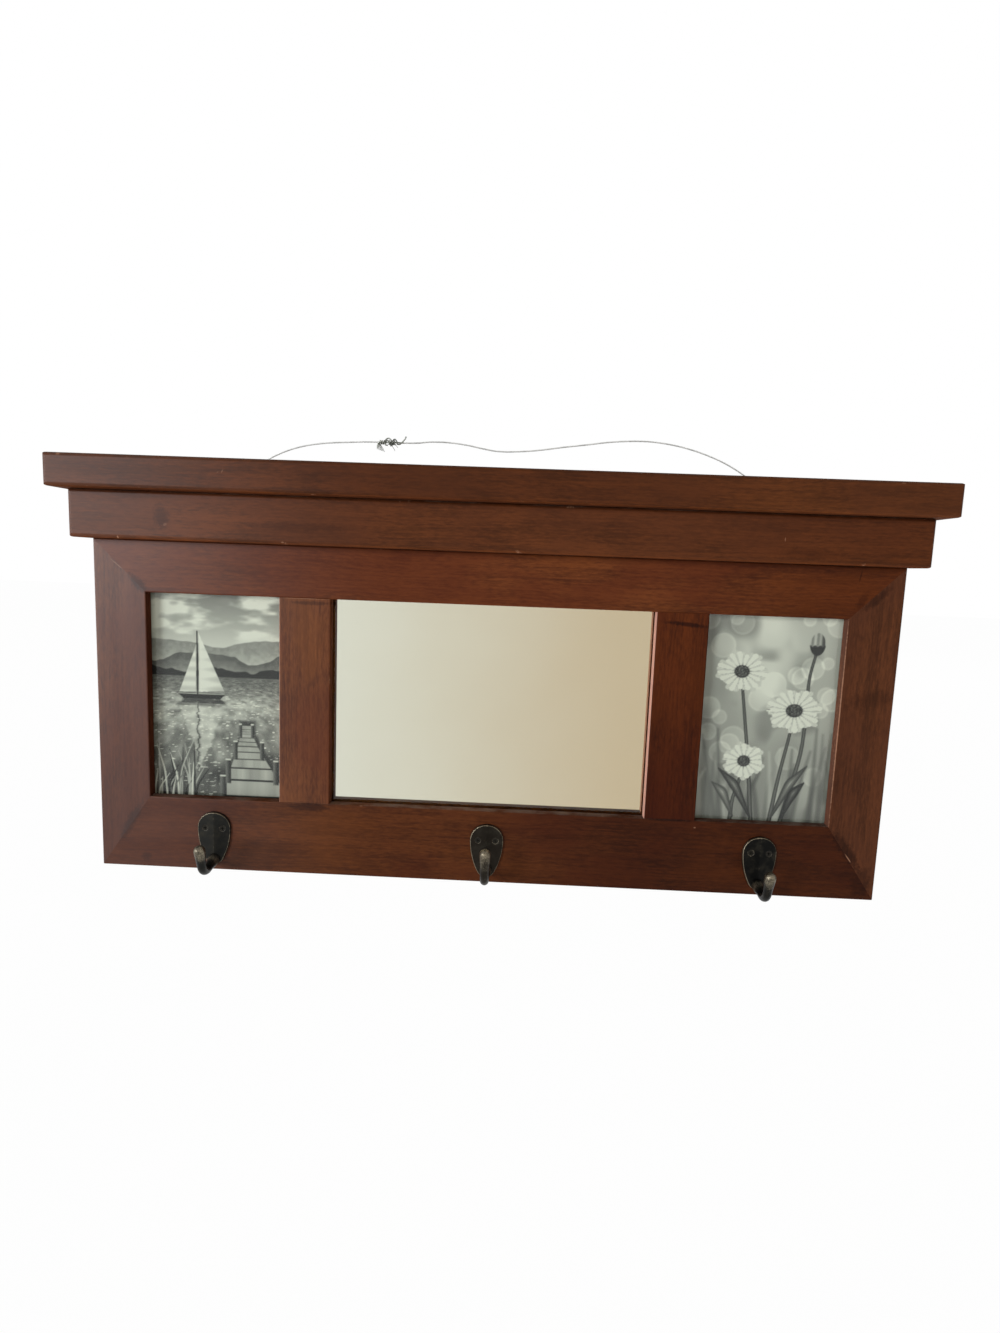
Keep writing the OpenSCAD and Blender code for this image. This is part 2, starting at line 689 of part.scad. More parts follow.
module hanging_wire(sx, route, knot_end) {
    rings = [for (p = smooth(whole_route(sx, route, knot_end))) ringed(p, wire_d / 2)];
    color(steel) translate([0, ring_y, 0]) rotate([90, 0, 0]) swept_rod(rings, wire_sides);
}

// ---------- pads ----------

// Foam pads on the two lower corners of the back
pad_inset = [22, 15];
module wall_pads() {
    color([0.16, 0.16, 0.16]) for (sx = [-1, 1])
        translate([sx * (frame_w / 2 - pad_inset[0]), 0, pad_inset[1]]) rotate([-90, 0, 0])
            cylinder(h = pad_t, r = pad_r);
}

// ---------- nodes ----------

placed() cap_board();
placed() fascia_board();
placed() rail(true);  // top_rail
placed() rail(false);  // bottom_rail
placed() stile(-1);  // left_stile
placed() stile(1);  // right_stile
placed() mullion(-1);  // left_mullion
placed() mullion(1);  // right_mullion
placed() corner_nails();
placed() mirror_glass();
placed() mirror_pad();
placed() mirror_back();
placed() glazing_points();
placed() photo_glass(-1);  // left_photo_glass
placed() photo_glass(1);  // right_photo_glass
placed() photo_print(-1);  // left_photo_print
placed() photo_print(1);  // right_photo_print
placed() photo_filler(-1);  // left_photo_filler
placed() photo_filler(1);  // right_photo_filler
placed() photo_back(-1);  // left_photo_back
placed() photo_back(1);  // right_photo_back
placed() turn_button(-1, true);  // left_upper_button
placed() turn_button(-1, false);  // left_lower_button
placed() turn_button(1, true);  // right_upper_button
placed() turn_button(1, false);  // right_lower_button
placed() button_screws();
placed() coat_hook(-photo_x, side_hook_h, side_lean, side_arm);  // left_coat_hook
placed() coat_hook(center_hook_x, center_hook_h, center_lean, center_arm);  // center_coat_hook
placed() coat_hook(photo_x, side_hook_h, side_lean, side_arm);  // right_coat_hook
placed() hook_screws();
placed() hanger_strap(-1);  // left_hanger_strap
placed() hanger_strap(1);  // right_hanger_strap
placed() hanger_screws();
placed() ring(-1);  // left_ring
placed() ring(1);  // right_ring
placed() wire_tie(-1);  // left_wire_tie
placed() wire_tie(1);  // right_wire_tie
placed() hanging_wire(-1, left_route, knot_x[0]);  // left_hanging_wire
placed() hanging_wire(1, right_route, knot_x[1]);  // right_hanging_wire
placed() wire_knot();
placed() wall_pads();
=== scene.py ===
# Wall mirror between two photo openings: a mitred wooden frame with a stepped crown, three cast
# coat hooks, and a hanging wire behind it. Metres, with the nail in the wall at the origin.
import math

import bmesh
import bpy
import numpy as np
from mathutils import Matrix, Vector


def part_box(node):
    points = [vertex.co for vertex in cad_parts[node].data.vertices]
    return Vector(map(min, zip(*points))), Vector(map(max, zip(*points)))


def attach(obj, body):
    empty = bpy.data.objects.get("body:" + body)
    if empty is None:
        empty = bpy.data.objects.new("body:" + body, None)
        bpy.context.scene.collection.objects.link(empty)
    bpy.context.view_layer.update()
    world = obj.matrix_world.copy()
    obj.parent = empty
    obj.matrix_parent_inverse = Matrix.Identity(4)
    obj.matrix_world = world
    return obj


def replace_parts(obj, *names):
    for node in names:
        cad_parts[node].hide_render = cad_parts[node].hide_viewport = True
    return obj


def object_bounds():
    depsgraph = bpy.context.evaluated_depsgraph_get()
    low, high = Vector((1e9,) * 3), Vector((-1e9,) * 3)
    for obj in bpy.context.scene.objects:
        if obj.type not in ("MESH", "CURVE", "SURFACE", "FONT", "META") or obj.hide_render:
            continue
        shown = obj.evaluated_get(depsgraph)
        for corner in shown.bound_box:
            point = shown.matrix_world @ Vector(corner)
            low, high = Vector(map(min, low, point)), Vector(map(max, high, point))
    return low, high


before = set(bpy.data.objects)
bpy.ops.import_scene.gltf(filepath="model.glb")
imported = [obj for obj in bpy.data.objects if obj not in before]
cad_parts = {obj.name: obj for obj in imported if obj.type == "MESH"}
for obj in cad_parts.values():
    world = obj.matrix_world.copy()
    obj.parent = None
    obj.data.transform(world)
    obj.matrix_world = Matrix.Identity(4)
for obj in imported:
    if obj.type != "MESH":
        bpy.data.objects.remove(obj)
cad_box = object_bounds()
scene = bpy.context.scene
MM = 0.001
# points of a mesh that are nearer than this become one
WELD = 1e-7
# height of the nail above the frame's bottom edge
NAIL_Z = 0.2995
# height of the nail above the rings' axis
WIRE_RISE = 0.0995


def box(node):
    """Lowest and highest corner of a node as two arrays."""
    low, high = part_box(node)
    return np.array(low), np.array(high)


# ---------- camera ----------

CAMERA_PLACE = (0.018662, -0.524947, -0.077650)
CAMERA_TURN = -0.0243
CAMERA_DIP = 0.1308
CAMERA_ROLL = 0.0377
# focal length and height of the picture in pixels, and the sensor's long side in millimetres
FOCAL_PX, PICTURE_H, SENSOR = 753, 1333, 36


def make_camera():
    """Camera that looks along +Y, turned, dipped and rolled a little."""
    ahead = Vector((math.sin(CAMERA_TURN) * math.cos(CAMERA_DIP),
                    math.cos(CAMERA_TURN) * math.cos(CAMERA_DIP), -math.sin(CAMERA_DIP)))
    level = Vector((math.cos(CAMERA_TURN), -math.sin(CAMERA_TURN), 0))
    below = ahead.cross(level)
    side = level * math.cos(CAMERA_ROLL) - below * math.sin(CAMERA_ROLL)
    down = level * math.sin(CAMERA_ROLL) + below * math.cos(CAMERA_ROLL)
    data = bpy.data.cameras.new("camera")
    data.sensor_fit, data.sensor_width = "AUTO", SENSOR
    data.lens = FOCAL_PX / PICTURE_H * SENSOR
    data.clip_start, data.clip_end = 0.01, 50
    camera = bpy.data.objects.new("camera", data)
    scene.collection.objects.link(camera)
    turn = Matrix((side, -down, -ahead)).transposed().to_4x4()
    camera.matrix_world = Matrix.Translation(CAMERA_PLACE) @ turn
    scene.camera = camera


make_camera()

# ---------- meshes ----------


def shell(points, capped=True):
    """Vertices and faces of a tube: points[row, column] with the columns closed round."""
    rows, around = points.shape[:2]
    i, j = np.meshgrid(np.arange(rows - 1), np.arange(around), indexing="ij")
    a, b = i * around + j, i * around + (j + 1) % around
    faces = np.stack([a, b, b + around, a + around], -1).reshape(-1, 4).tolist()
    if capped:
        faces.append(list(range(around))[::-1])
        faces.append([(rows - 1) * around + k for k in range(around)])
    return points.reshape(-1, 3), faces


def make_piece(name, shells, material, values=None, smooth=True):
    """One mesh object from several closed shells, with faces turned outwards.

    values maps an attribute's name to one number, or one colour, for each vertex.
    """
    verts, faces = [], []
    for points, quads in shells:
        faces += [[k + len(verts) for k in face] for face in quads]
        verts += points.tolist()
    mesh = bpy.data.meshes.new(name)
    mesh.from_pydata(verts, [], faces)
    for key, value in (values or {}).items():
        value = np.asarray(value, np.float32)
        kind = "FLOAT_COLOR" if value.ndim == 2 else "FLOAT"
        attribute = mesh.attributes.new(key, kind, "POINT")
        attribute.data.foreach_set("color" if value.ndim == 2 else "value", value.ravel())
    work = bmesh.new()
    work.from_mesh(mesh)
    bmesh.ops.remove_doubles(work, verts=work.verts, dist=WELD)
    bmesh.ops.recalc_face_normals(work, faces=work.faces)
    work.to_mesh(mesh)
    work.free()
    mesh.polygons.foreach_set("use_smooth", [smooth] * len(mesh.polygons))
    mesh.materials.append(material)
    piece = bpy.data.objects.new(name, mesh)
    scene.collection.objects.link(piece)
    return piece


def unit(v):
    """Rows of v at length 1."""
    return v / np.linalg.norm(v, axis=-1, keepdims=True)


def curve_through(points, steps):
    """Smooth curve through points: each stretch is a cubic led by the points beside it."""
    p = np.asarray(points, float)
    p = np.vstack([2 * p[:1] - p[1:2], p, 2 * p[-1:] - p[-2:-1]])
    t = np.arange(steps)[:, None, None] / steps
    a, b, c, d = p[:-3], p[1:-2], p[2:-1], p[3:]
    line = 0.5 * (2 * b + (c - a) * t + (2 * a - 5 * b + 4 * c - d) * t**2
                  + (3 * b - a - 3 * c + d) * t**3)
    return np.vstack([line.transpose(1, 0, 2).reshape(-1, 3), p[-2:-1]])


def tube(path, radius, sides=12, lobes=0, depth=0.0, twist=0.0, closed=False):
    """Rings round a path: at each point a circle of that radius, square to the path.

    With lobes the circle swells and sinks that many times round, by depth of its radius, and
    the lobes turn by twist radians for each metre, which lays strands along the path.
    """
    path = np.asarray(path, float)
    if closed:
        heading = unit(np.roll(path, -1, 0) - np.roll(path, 1, 0))
    else:
        heading = unit(np.gradient(path, axis=0))
    across = np.empty_like(heading)
    guess = np.array([0.0, 1.0, 0.0]) if abs(heading[0, 1]) < 0.9 else np.array([1.0, 0.0, 0.0])
    for i, h in enumerate(heading):
        guess = guess - h * (guess @ h)
        guess /= np.linalg.norm(guess)
        across[i] = guess
    other = np.cross(heading, across)
    run = np.concatenate([[0], np.cumsum(np.linalg.norm(np.diff(path, axis=0), axis=1))])
    angle = np.linspace(0, 2 * np.pi, sides, endpoint=False)[None, :]
    swell = 1 - depth + depth * np.abs(np.cos(lobes / 2 * (angle - twist * run[:, None])))
    r = (np.broadcast_to(radius, len(path))[:, None] * swell)[..., None]
    rings = path[:, None] + r * (np.cos(angle)[..., None] * across[:, None]
                                 + np.sin(angle)[..., None] * other[:, None])
    if closed:
        rings = np.concatenate([rings, rings[:1]])
    return rings


def smooth(t):
    """Smooth step of t from 0 to 1, held flat outside."""
    t = np.clip(t, 0, 1)
    return t * t * (3 - 2 * t)


# ---------- hanging wire ----------

# Routes of the wire, in X and in height above the rings' axis (millimetres)
LEFT_ROUTE = [(-231, 28), (-220, 39.5), (-207, 52.5), (-193, 65), (-178, 77), (-164, 86.5), (-150, 94),
              (-136, 98.8), (-120, 101.6), (-103, 102.8), (-92, 103.4)]
RIGHT_ROUTE = [(231.5, 27.5), (221, 39), (208, 52.5), (194, 66.5), (180, 79.5), (167, 89.2), (154, 96.6),
               (141, 101.9), (128, 105.8), (115, 108.4), (101, 109.8), (87, 109.6), (73, 108.4),
               (58, 106.2), (43, 104.2), (29, 102), (15, 100.5), (0, 100), (-11, 101.4), (-22, 103.4),
               (-34, 104.7), (-46, 104.8), (-56, 103.8)]
WIRE_D = 0.001
KNOT_X = (-0.083, -0.066)
KNOT_Z = 0.1035 - WIRE_RISE
RING_R = 0.009
RING_ROD_R = 0.0012
# radius of the wire's loop round a ring, and length and radius of its wraps
TIE_LOOP_R = RING_ROD_R + 0.00005 + WIRE_D / 2
TIE_L = 0.012
TIE_R = 0.0012
# the wire's strands, how deep the furrows between them are as a share of its radius, and how far
# they turn round each other in a metre, in radians
WIRE_STRANDS, WIRE_FURROW, WIRE_TWIST = 3, 0.14, 1000


def ring_point(side):
    """Where the wire goes round a ring: at 45 degrees, inwards and up."""
    low, high = box("right_ring" if side > 0 else "left_ring")
    middle = np.array([(low[0] + high[0]) / 2, (low[1] + high[1]) / 2, high[2] - RING_R - RING_ROD_R])
    return middle + RING_R * tie_way(side)


def tie_way(side):
    """The way along which the wire leaves a ring: inwards and up at 45 degrees."""
    return np.array([-side, 0, 1]) / math.sqrt(2)


def wire_path(side, route, knot_end):
    """The route's points between the tie's end and the knot, as one smooth curve."""
    start = ring_point(side) + (TIE_LOOP_R + TIE_L) * tie_way(side)
    inner = [(x * MM, start[1], z * MM - WIRE_RISE) for x, z in route]
    last = knot_end - math.copysign(2 * WIRE_D, knot_end - inner[-1][0])
    points = [start, start + 2 * WIRE_D * tie_way(side), *inner,
              (last, start[1], KNOT_Z), (knot_end, start[1], KNOT_Z)]
    return curve_through(points, 40)


def knot_strands():
    """Loose wraps round the wire, an arch, two tails and frayed strands, each with its radius.

    Millimetres from the knot's left end: x along the wire, y back and z up.
    """
    turn = np.linspace(0, 1, 60)[:, None]

    def wraps(start, end, turns, near, far):
        """Turns that crowd towards their end, at a radius that swings between near and far."""
        a = 2 * np.pi * turns * turn + start
        r = near + (far - near) * np.abs(np.sin(2.3 * a + start))
        return np.hstack([start + (end - start) * turn, r * np.cos(a), r * np.sin(a)])

    strands = [([[-0.5, 0, 0], [4, 0.3, -0.2], [9, -0.3, 0.2], [17.5, 0, 0]], 0.5),
               (wraps(1.2, 5.4, 3.2, 0.8, 1.2), 0.42), (wraps(7.4, 11.6, 3.6, 0.85, 1.35), 0.42),
               ([[2, 0.8, -0.8], [4, 1.0, 0.8], [5.6, 0.4, 2.4], [7.4, -0.4, 2.7], [9.0, -0.8, 1.2],
                 [9.6, 0, -1.4], [8.2, 0.9, -2.0]], 0.48),
               ([[6.6, -1.0, -2.0], [5.0, -0.8, -1.6], [4.6, -0.4, 0.2], [6.2, 0.2, 1.3],
                 [7.6, 0.8, 0.2], [7.0, 0.6, -1.4]], 0.45),
               ([[8.6, 0.9, -1.2], [9.8, 0.9, 1.4], [11.2, 0.2, 2.3], [12.6, -0.6, 0.9],
                 [13.0, -0.3, -0.8], [14.6, 0.2, -0.9], [16.2, 0.3, 0.4], [18.0, 0.3, 2.4],
                 [19.0, 0.2, 4.4]], 0.48),
               ([[3.0, -0.6, 0.4], [1.4, -0.8, 0.5], [0.1, -0.5, -0.6], [-0.6, -0.3, -2.4],
                 [-0.5, -0.2, -3.6]], 0.45)]
    for k in range(9):
        share = k / 8
        end = [-0.9 + 5.2 * share, 0.6 * math.sin(5 * k), -4.6 - 1.6 * share]
        bow = [-0.8 + 3.4 * share, 0.4 * math.cos(3 * k), -3.4 + 0.3 * share]
        strands.append(([[-0.3 + share, 0, -0.6], bow, end], 0.14))
    for start, end in (((8.2, 0, -1.4), (11.4, 0.4, -5.4)), ((10.6, 0, -1.2), (13.4, -0.3, -3.3))):
        strands.append(([start, np.add(start, end) / 2 + [0.3, 0, 0.3], end], 0.16))
    return strands


def tie_shells(side):
    """A loop round the ring, then tight wraps of the wire's end round the wire itself."""
    start, way = ring_point(side), tie_way(side)
    out, back = np.array([way[2], 0, -way[0]]), np.array([0.0, 1.0, 0.0])
    a = np.linspace(0, 2 * np.pi, 40, endpoint=False)[:, None]
    loop = start + TIE_LOOP_R * (np.cos(a) * way + np.sin(a) * back)
    core = start + np.linspace(TIE_LOOP_R, TIE_LOOP_R + TIE_L, 30)[:, None] * way
    turns, wrap_r = 11, 0.36 * MM
    b = np.linspace(0, 2 * np.pi * turns, turns * 20)[:, None]
    along = TIE_LOOP_R + wrap_r + (TIE_L - 2 * wrap_r) * b / b[-1]
    coil = start + along * way + (TIE_R - wrap_r) * (np.cos(b) * out + np.sin(b) * back)
    return [shell(tube(loop, WIRE_D / 2, 10, closed=True), capped=False),
            shell(tube(core, WIRE_D / 2, 10)), shell(tube(coil, wrap_r, 8))]


# ---------- node graphs ----------


class Graph:
    """Short ways to add nodes to a node tree and to join them."""

    def __init__(self, tree):
        self.tree = tree

    def add(self, kind, inputs=None, **settings):
        """Adds a node. inputs maps a socket's name or number to a value or to another socket."""
        node = self.tree.nodes.new(kind)
        for key, value in settings.items():
            setattr(node, key, value)
        for key, value in (inputs or {}).items():
            self.feed(node.inputs[key], value)
        return node

    def feed(self, socket, value):
        """Joins another socket to this one, or sets its value."""
        if isinstance(value, bpy.types.NodeSocket):
            self.tree.links.new(value, socket)
        else:
            socket.default_value = value

    def math(self, operation, *values, clamp=False):
        """The result of a Math node."""
        inputs = dict(enumerate(values))
        return self.add("ShaderNodeMath", inputs, operation=operation, use_clamp=clamp).outputs[0]

    def vector(self, operation, *values, output=0):
        """The result of a Vector Math node: output 0 is a vector and 1 a number."""
        inputs = dict(enumerate(values))
        return self.add("ShaderNodeVectorMath", inputs, operation=operation).outputs[output]

    def times(self, a, b, plus=None, **settings):
        """a times b, and plus added to that where it is given."""
        if plus is None:
            return self.math("MULTIPLY", a, b, **settings)
        return self.math("MULTIPLY_ADD", a, b, plus)

    def minus(self, a, b):
        """a less b."""
        return self.math("SUBTRACT", a, b)

    def step(self, value, low, high):
        """0 below low, 1 above high and smooth between them; low above high turns it round."""
        node = self.add("ShaderNodeMapRange", {"Value": value, "From Min": low, "From Max": high},
                        interpolation_type="SMOOTHSTEP")
        return node.outputs[0]

    def mix(self, share, a, b, blend="MIX"):
        """Colour a turned into b by the share, or blended with b by it."""
        node = self.add("ShaderNodeMix", {0: share, 6: a, 7: b}, data_type="RGBA", blend_type=blend)
        return node.outputs[2]

    def noise(self, vector, scale, detail=3.0, roughness=0.5):
        """Noise about 0.5, with scale cells to a metre and finer layers by detail."""
        inputs = {"Vector": vector, "Scale": scale, "Detail": detail, "Roughness": roughness}
        return self.add("ShaderNodeTexNoise", inputs).outputs[0]

    def streaks(self, vector, scale, detail=3.0, roughness=0.5):
        """Noise with each axis scaled by itself."""
        return self.noise(self.vector("MULTIPLY", vector, scale), 1.0, detail, roughness)

    def place(self):
        """Object coordinates, which are the frame's metres."""
        return self.add("ShaderNodeTexCoord").outputs["Object"]

    def normal(self):
        """The way that the surface faces."""
        return self.add("ShaderNodeTexCoord").outputs["Normal"]

    def parts(self, vector):
        """X, Y and Z of a vector."""
        return self.add("ShaderNodeSeparateXYZ", {0: vector}).outputs

    def group(self, tree, inputs):
        """A node group in this tree, with its inputs set."""
        node = self.add("ShaderNodeGroup")
        node.node_tree = tree
        for key, value in inputs.items():
            self.feed(node.inputs[key], value)
        return node.outputs

    def cover(self, share, one, other, output="Material Output"):
        """Joins a mix of two shaders to the tree's output."""
        mixed = self.add("ShaderNodeMixShader", {0: share, 1: one, 2: other}).outputs[0]
        self.feed(self.tree.nodes[output].inputs["Surface"], mixed)


class Surface(Graph):
    """The nodes of a new material round its Principled shader."""

    def __init__(self, name):
        self.material = bpy.data.materials.new(name)
        self.material.use_nodes = True
        super().__init__(self.material.node_tree)
        self.shader = self.tree.nodes["Principled BSDF"]

    def finish(self, colour, roughness, height=None, depth=0.0, **settings):
        """Joins the colour, roughness, height and settings to the shader; gives the material."""
        if height is not None:
            bump = self.add("ShaderNodeBump", {"Strength": 1.0, "Distance": depth, "Height": height})
            settings["Normal"] = bump.outputs[0]
        settings |= {"Base Color": colour, "Roughness": roughness}
        for key, value in settings.items():
            self.feed(self.shader.inputs[key.replace("_", " ")], value)
        return self.material


def new_group(name, build, outputs, colours=(), vectors=(), **numbers):
    """A shader node group. build(graph, sockets in) gives its outputs, as a socket for each name."""
    tree = bpy.data.node_groups.new(name, "ShaderNodeTree")
    kinds = {"Vector": "Vector", **dict.fromkeys(colours, "Color"), **dict.fromkeys(vectors, "Vector"),
             **dict.fromkeys(numbers, "Float")}
    for key, kind in kinds.items():
        socket = tree.interface.new_socket(key, in_out="INPUT", socket_type="NodeSocket" + kind)
        if key in numbers:
            socket.default_value = numbers[key]
    for key in outputs:
        kind = "Color" if key == "Color" else "Float"
        tree.interface.new_socket(key, in_out="OUTPUT", socket_type="NodeSocket" + kind)
    graph = Graph(tree)
    start = graph.add("NodeGroupInput")
    results = build(graph, start.outputs)
    graph.add("NodeGroupOutput", results)
    return tree


def linear(red, green, blue):
    """A colour given as screen values from 0 to 255, as the linear colour that nodes take."""
    values = np.array([red, green, blue]) / 255
    low, high = values / 12.92, ((values + 0.055) / 1.055) ** 2.4
    return (*np.where(values > 0.04045, high, low).tolist(), 1.0)


# ---------- shared effects ----------


def build_figure(graph, given):
    """Figure of a close-grained wood along X, under a stain that has taken in clouds.

    It has drifting bands, a mottle a little longer than wide, short dashes, long hairlines and
    short dark pores.
    """
    wander = graph.streaks(given["Vector"], (5, 18, 18), 2.0)
    sway = graph.times(wander, 0.012, -0.006)
    swing = graph.add("ShaderNodeCombineXYZ", {1: sway, 2: sway}).outputs[0]
    flow = graph.vector("ADD", given["Vector"], swing)
    bands = graph.streaks(flow, (5, 70, 70), 3.0, 0.55)
    mottle = graph.streaks(flow, (24, 60, 60), 5.0, 0.62)
    dashes = graph.streaks(flow, (170, 760, 760), 3.0, 0.6)
    hairs = graph.streaks(flow, (14, 620, 620), 3.0, 0.6)
    fibres = graph.times(dashes, 0.55, graph.times(hairs, 0.45))
    pores = graph.streaks(flow, (110, 1900, 1900), 2.0, 0.5)
    blotch = graph.streaks(given["Vector"], (9, 17, 17), 3.0, 0.5)
    tone = graph.times(bands, 0.20, graph.times(fibres, 0.50))
    tone = graph.times(mottle, 0.30, tone)
    share = graph.step(tone, 0.38, 0.62)
    colour = graph.mix(share, given["Dark"], given["Light"])
    stain = graph.step(graph.times(mottle, 0.4, blotch), 0.62, 0.80)
    stain = graph.times(stain, given["Blotches"])
    colour = graph.mix(stain, colour, given["Stain"])
    glow = graph.step(graph.times(mottle, 0.5, blotch), 0.70, 0.52)
    glow = graph.times(glow, 0.35)
    colour = graph.mix(glow, colour, given["Glow"])
    pore = graph.step(pores, 0.60, 0.72)
    colour = graph.mix(graph.times(pore, 0.30), colour, given["Dark"])
    height = graph.times(pore, -0.6, fibres)
    return {"Color": colour, "Height": height, "Bands": bands}


def build_mark(graph, given):
    """Mask of one mark: an ellipse in the X-Z plane with a ragged edge."""
    offset = graph.vector("SUBTRACT", given["Vector"], given["Centre"])
    turned = graph.add("ShaderNodeVectorRotate", {"Vector": offset, "Angle": given["Turn"]},
                       rotation_type="Y_AXIS").outputs[0]
    flat = graph.vector("MULTIPLY", turned, (1, 0, 1))
    away = graph.vector("LENGTH", graph.vector("DIVIDE", flat, given["Reach"]), output=1)
    ragged = graph.noise(given["Vector"], 420, 4.0, 0.7)
    away = graph.times(graph.minus(ragged, 0.5), 1.5, away)
    return {"Mask": graph.step(away, 1.25, 0.45)}


def build_worn_edge(graph, given):
    """Mask of the rounded edges, where the normal lies between the axes, broken by noise."""
    size = graph.parts(graph.vector("ABSOLUTE", graph.normal()))
    most = graph.math("MAXIMUM", graph.math("MAXIMUM", size[0], size[1]), size[2])
    edge = graph.step(most, 0.995, 0.90)
    rubbed = graph.noise(given["Vector"], given["Scale"], 4.0, 0.65)
    rubbed = graph.step(rubbed, given["Reach"], graph.math("ADD", given["Reach"], 0.12))
    return {"Mask": graph.times(edge, rubbed)}


def build_dust(graph, given):
    """Mask of dust: on what faces up, more in patches."""
    up = graph.parts(graph.normal())[2]
    patches = graph.noise(given["Vector"], 60, 5.0, 0.65)
    specks = graph.step(graph.noise(given["Vector"], 1400, 2.0), 0.62, 0.72)
    loose = graph.times(specks, 0.5, graph.step(patches, 0.3, 0.75))
    mask = graph.times(graph.step(up, 0.5, 0.95), loose)
    return {"Mask": graph.times(mask, given["Amount"], clamp=True)}


def build_scratches(graph, given):
    """Mask of fine scratches in two directions, and a slow cloud of tarnish."""
    one = graph.streaks(given["Vector"], (300, 4000, 900), 2.0, 0.6)
    two = graph.streaks(given["Vector"], (3200, 500, 350), 2.0, 0.6)
    lines = graph.math("MAXIMUM", graph.step(one, 0.60, 0.68), graph.step(two, 0.62, 0.70))
    cloud = graph.noise(given["Vector"], given["Scale"], 5.0, 0.6)
    return {"Lines": lines, "Tarnish": graph.step(cloud, 0.35, 0.7)}


figure_group = new_group("wood_figure", build_figure, ["Color", "Height", "Bands"],
                         colours=["Light", "Dark", "Stain", "Glow"], Blotches=0.5)
mark_group = new_group("surface_mark", build_mark, ["Mask"], vectors=["Centre", "Reach"], Turn=0.0)
edge_group = new_group("worn_edge", build_worn_edge, ["Mask"], Scale=90.0, Reach=0.5)
dust_group = new_group("settled_dust", build_dust, ["Mask"], Amount=0.3)
scratch_group = new_group("metal_wear", build_scratches, ["Lines", "Tarnish"], Scale=200.0)

# ---------- wood ----------

# Marks on the boards: X and height above the frame's bottom edge, half length, half width
# (millimetres), turn up from the X axis (degrees) and strength
DARK_MARKS = [
    (-243, 202, 9, 3.4, 135, 0.75), (-252, 33, 17, 3.6, 60, 0.65), (-124, 193, 15, 1.5, 0, 0.6),
    (-125, 49.3, 15.5, 3.6, 0, 0.7), (-241.7, 7.2, 4, 3.6, 0, 0.5), (131, 188.5, 16, 1.6, -5, 0.9),
    (251.7, 35.4, 18, 4, -52, 0.7), (264, 12, 7, 12, 0, 0.5), (255.5, 210, 13.5, 3, 44, 0.55),
    (246, 209, 7, 3, 60, 0.45), (243.4, 225, 4, 0.6, 80, 0.6), (258, 142, 17, 7, 12, 0.35),
    (128, 51.8, 17, 1, 0, 0.7), (-221, 246.6, 5.5, 8.5, 10, 0.6), (-128, 243, 34, 3, 0, 0.35),
    (205, 238, 26, 4, 0, 0.3), (188, 24, 24, 5, 0, 0.3), (60, 36, 22, 3, 0, 0.3)]
PALE_MARKS_AND_HIGHLIGHTS = [
    (-257.5, 214.4, 5, 0.4, -39, 0.25), (-128.5, 195.9, 17, 0.35, 0, 0.35),
    (146.1, 47.1, 0.9, 0.6, 0, 0.35), (237.3, 53.6, 2.6, 0.9, -35, 0.7), (253.6, 30, 3.6, 0.45, -53, 0.5),
    (-218.5, 241.8, 1.6, 0.9, 30, 0.18), (-250.9, 232.4, 0.6, 0.9, 0, 0.7),
    (-176, 276.4, 1.3, 0.5, 60, 0.2), (-179, 275.6, 0.8, 0.4, 20, 0.15), (-140.3, 232.8, 1.1, 0.6, 0, 0.35),
    (188.2, 246.8, 0.35, 1.4, 0, 0.3), (-266.5, 284.6, 2.4, 0.5, 0, 0.25),
    # the last two are painted highlights, not marks: pale lines down the arrises that face the window
    (238.4, 123.5, 74, 0.35, 90, 0.5), (-145.7, 123.5, 74, 0.32, 90, 0.5)]
PALE_WOOD_AND_HIGHLIGHT, DUST = linear(186, 138, 108), linear(178, 166, 152)
# the raw wood of the boards' backs, and a painted light for faces that face the window
RAW_BACK, LIT_SIDE = linear(126, 84, 56), linear(218, 166, 148)
# what multiplies a board's colour: at a dark mark, where it is darker and in painted shade, and on faces
# turned down, where it paints light
DARK_SPOT, DARK_AND_SHADE, UNDERSIDE_LIGHT = (0.24, 0.19, 0.18, 1), (0.50, 0.39, 0.32, 1), (1.5, 1.5, 1.5, 1)
WOOD_SHINE = 0.075


def marks_on(node, marks):
    """The marks whose middle lies on a node's front."""
    low, high = box(node)
    return [m for m in marks if low[0] < m[0] * MM < high[0] and low[2] < m[1] * MM - NAIL_Z < high[2]]


def with_marks(graph, place, colour, node, marks, towards, blend):
    """The colour with each mark of the node laid over it."""
    for x, z, half_length, half_width, turn, strength in marks_on(node, marks):
        mask = graph.group(mark_group, {
            "Vector": place, "Centre": (x * MM, 0, z * MM - NAIL_Z),
            "Reach": (half_length * MM, 1, half_width * MM),
            "Turn": math.radians(turn)})["Mask"]
        colour = graph.mix(graph.times(mask, strength), colour, towards, blend)
    return colour


def ramp(graph, place, axis, start, end):
    """0 to 1 between two places along an axis: 0 for X and 2 for Z."""
    along = graph.parts(place)[axis]
    return graph.step(along, start, end)


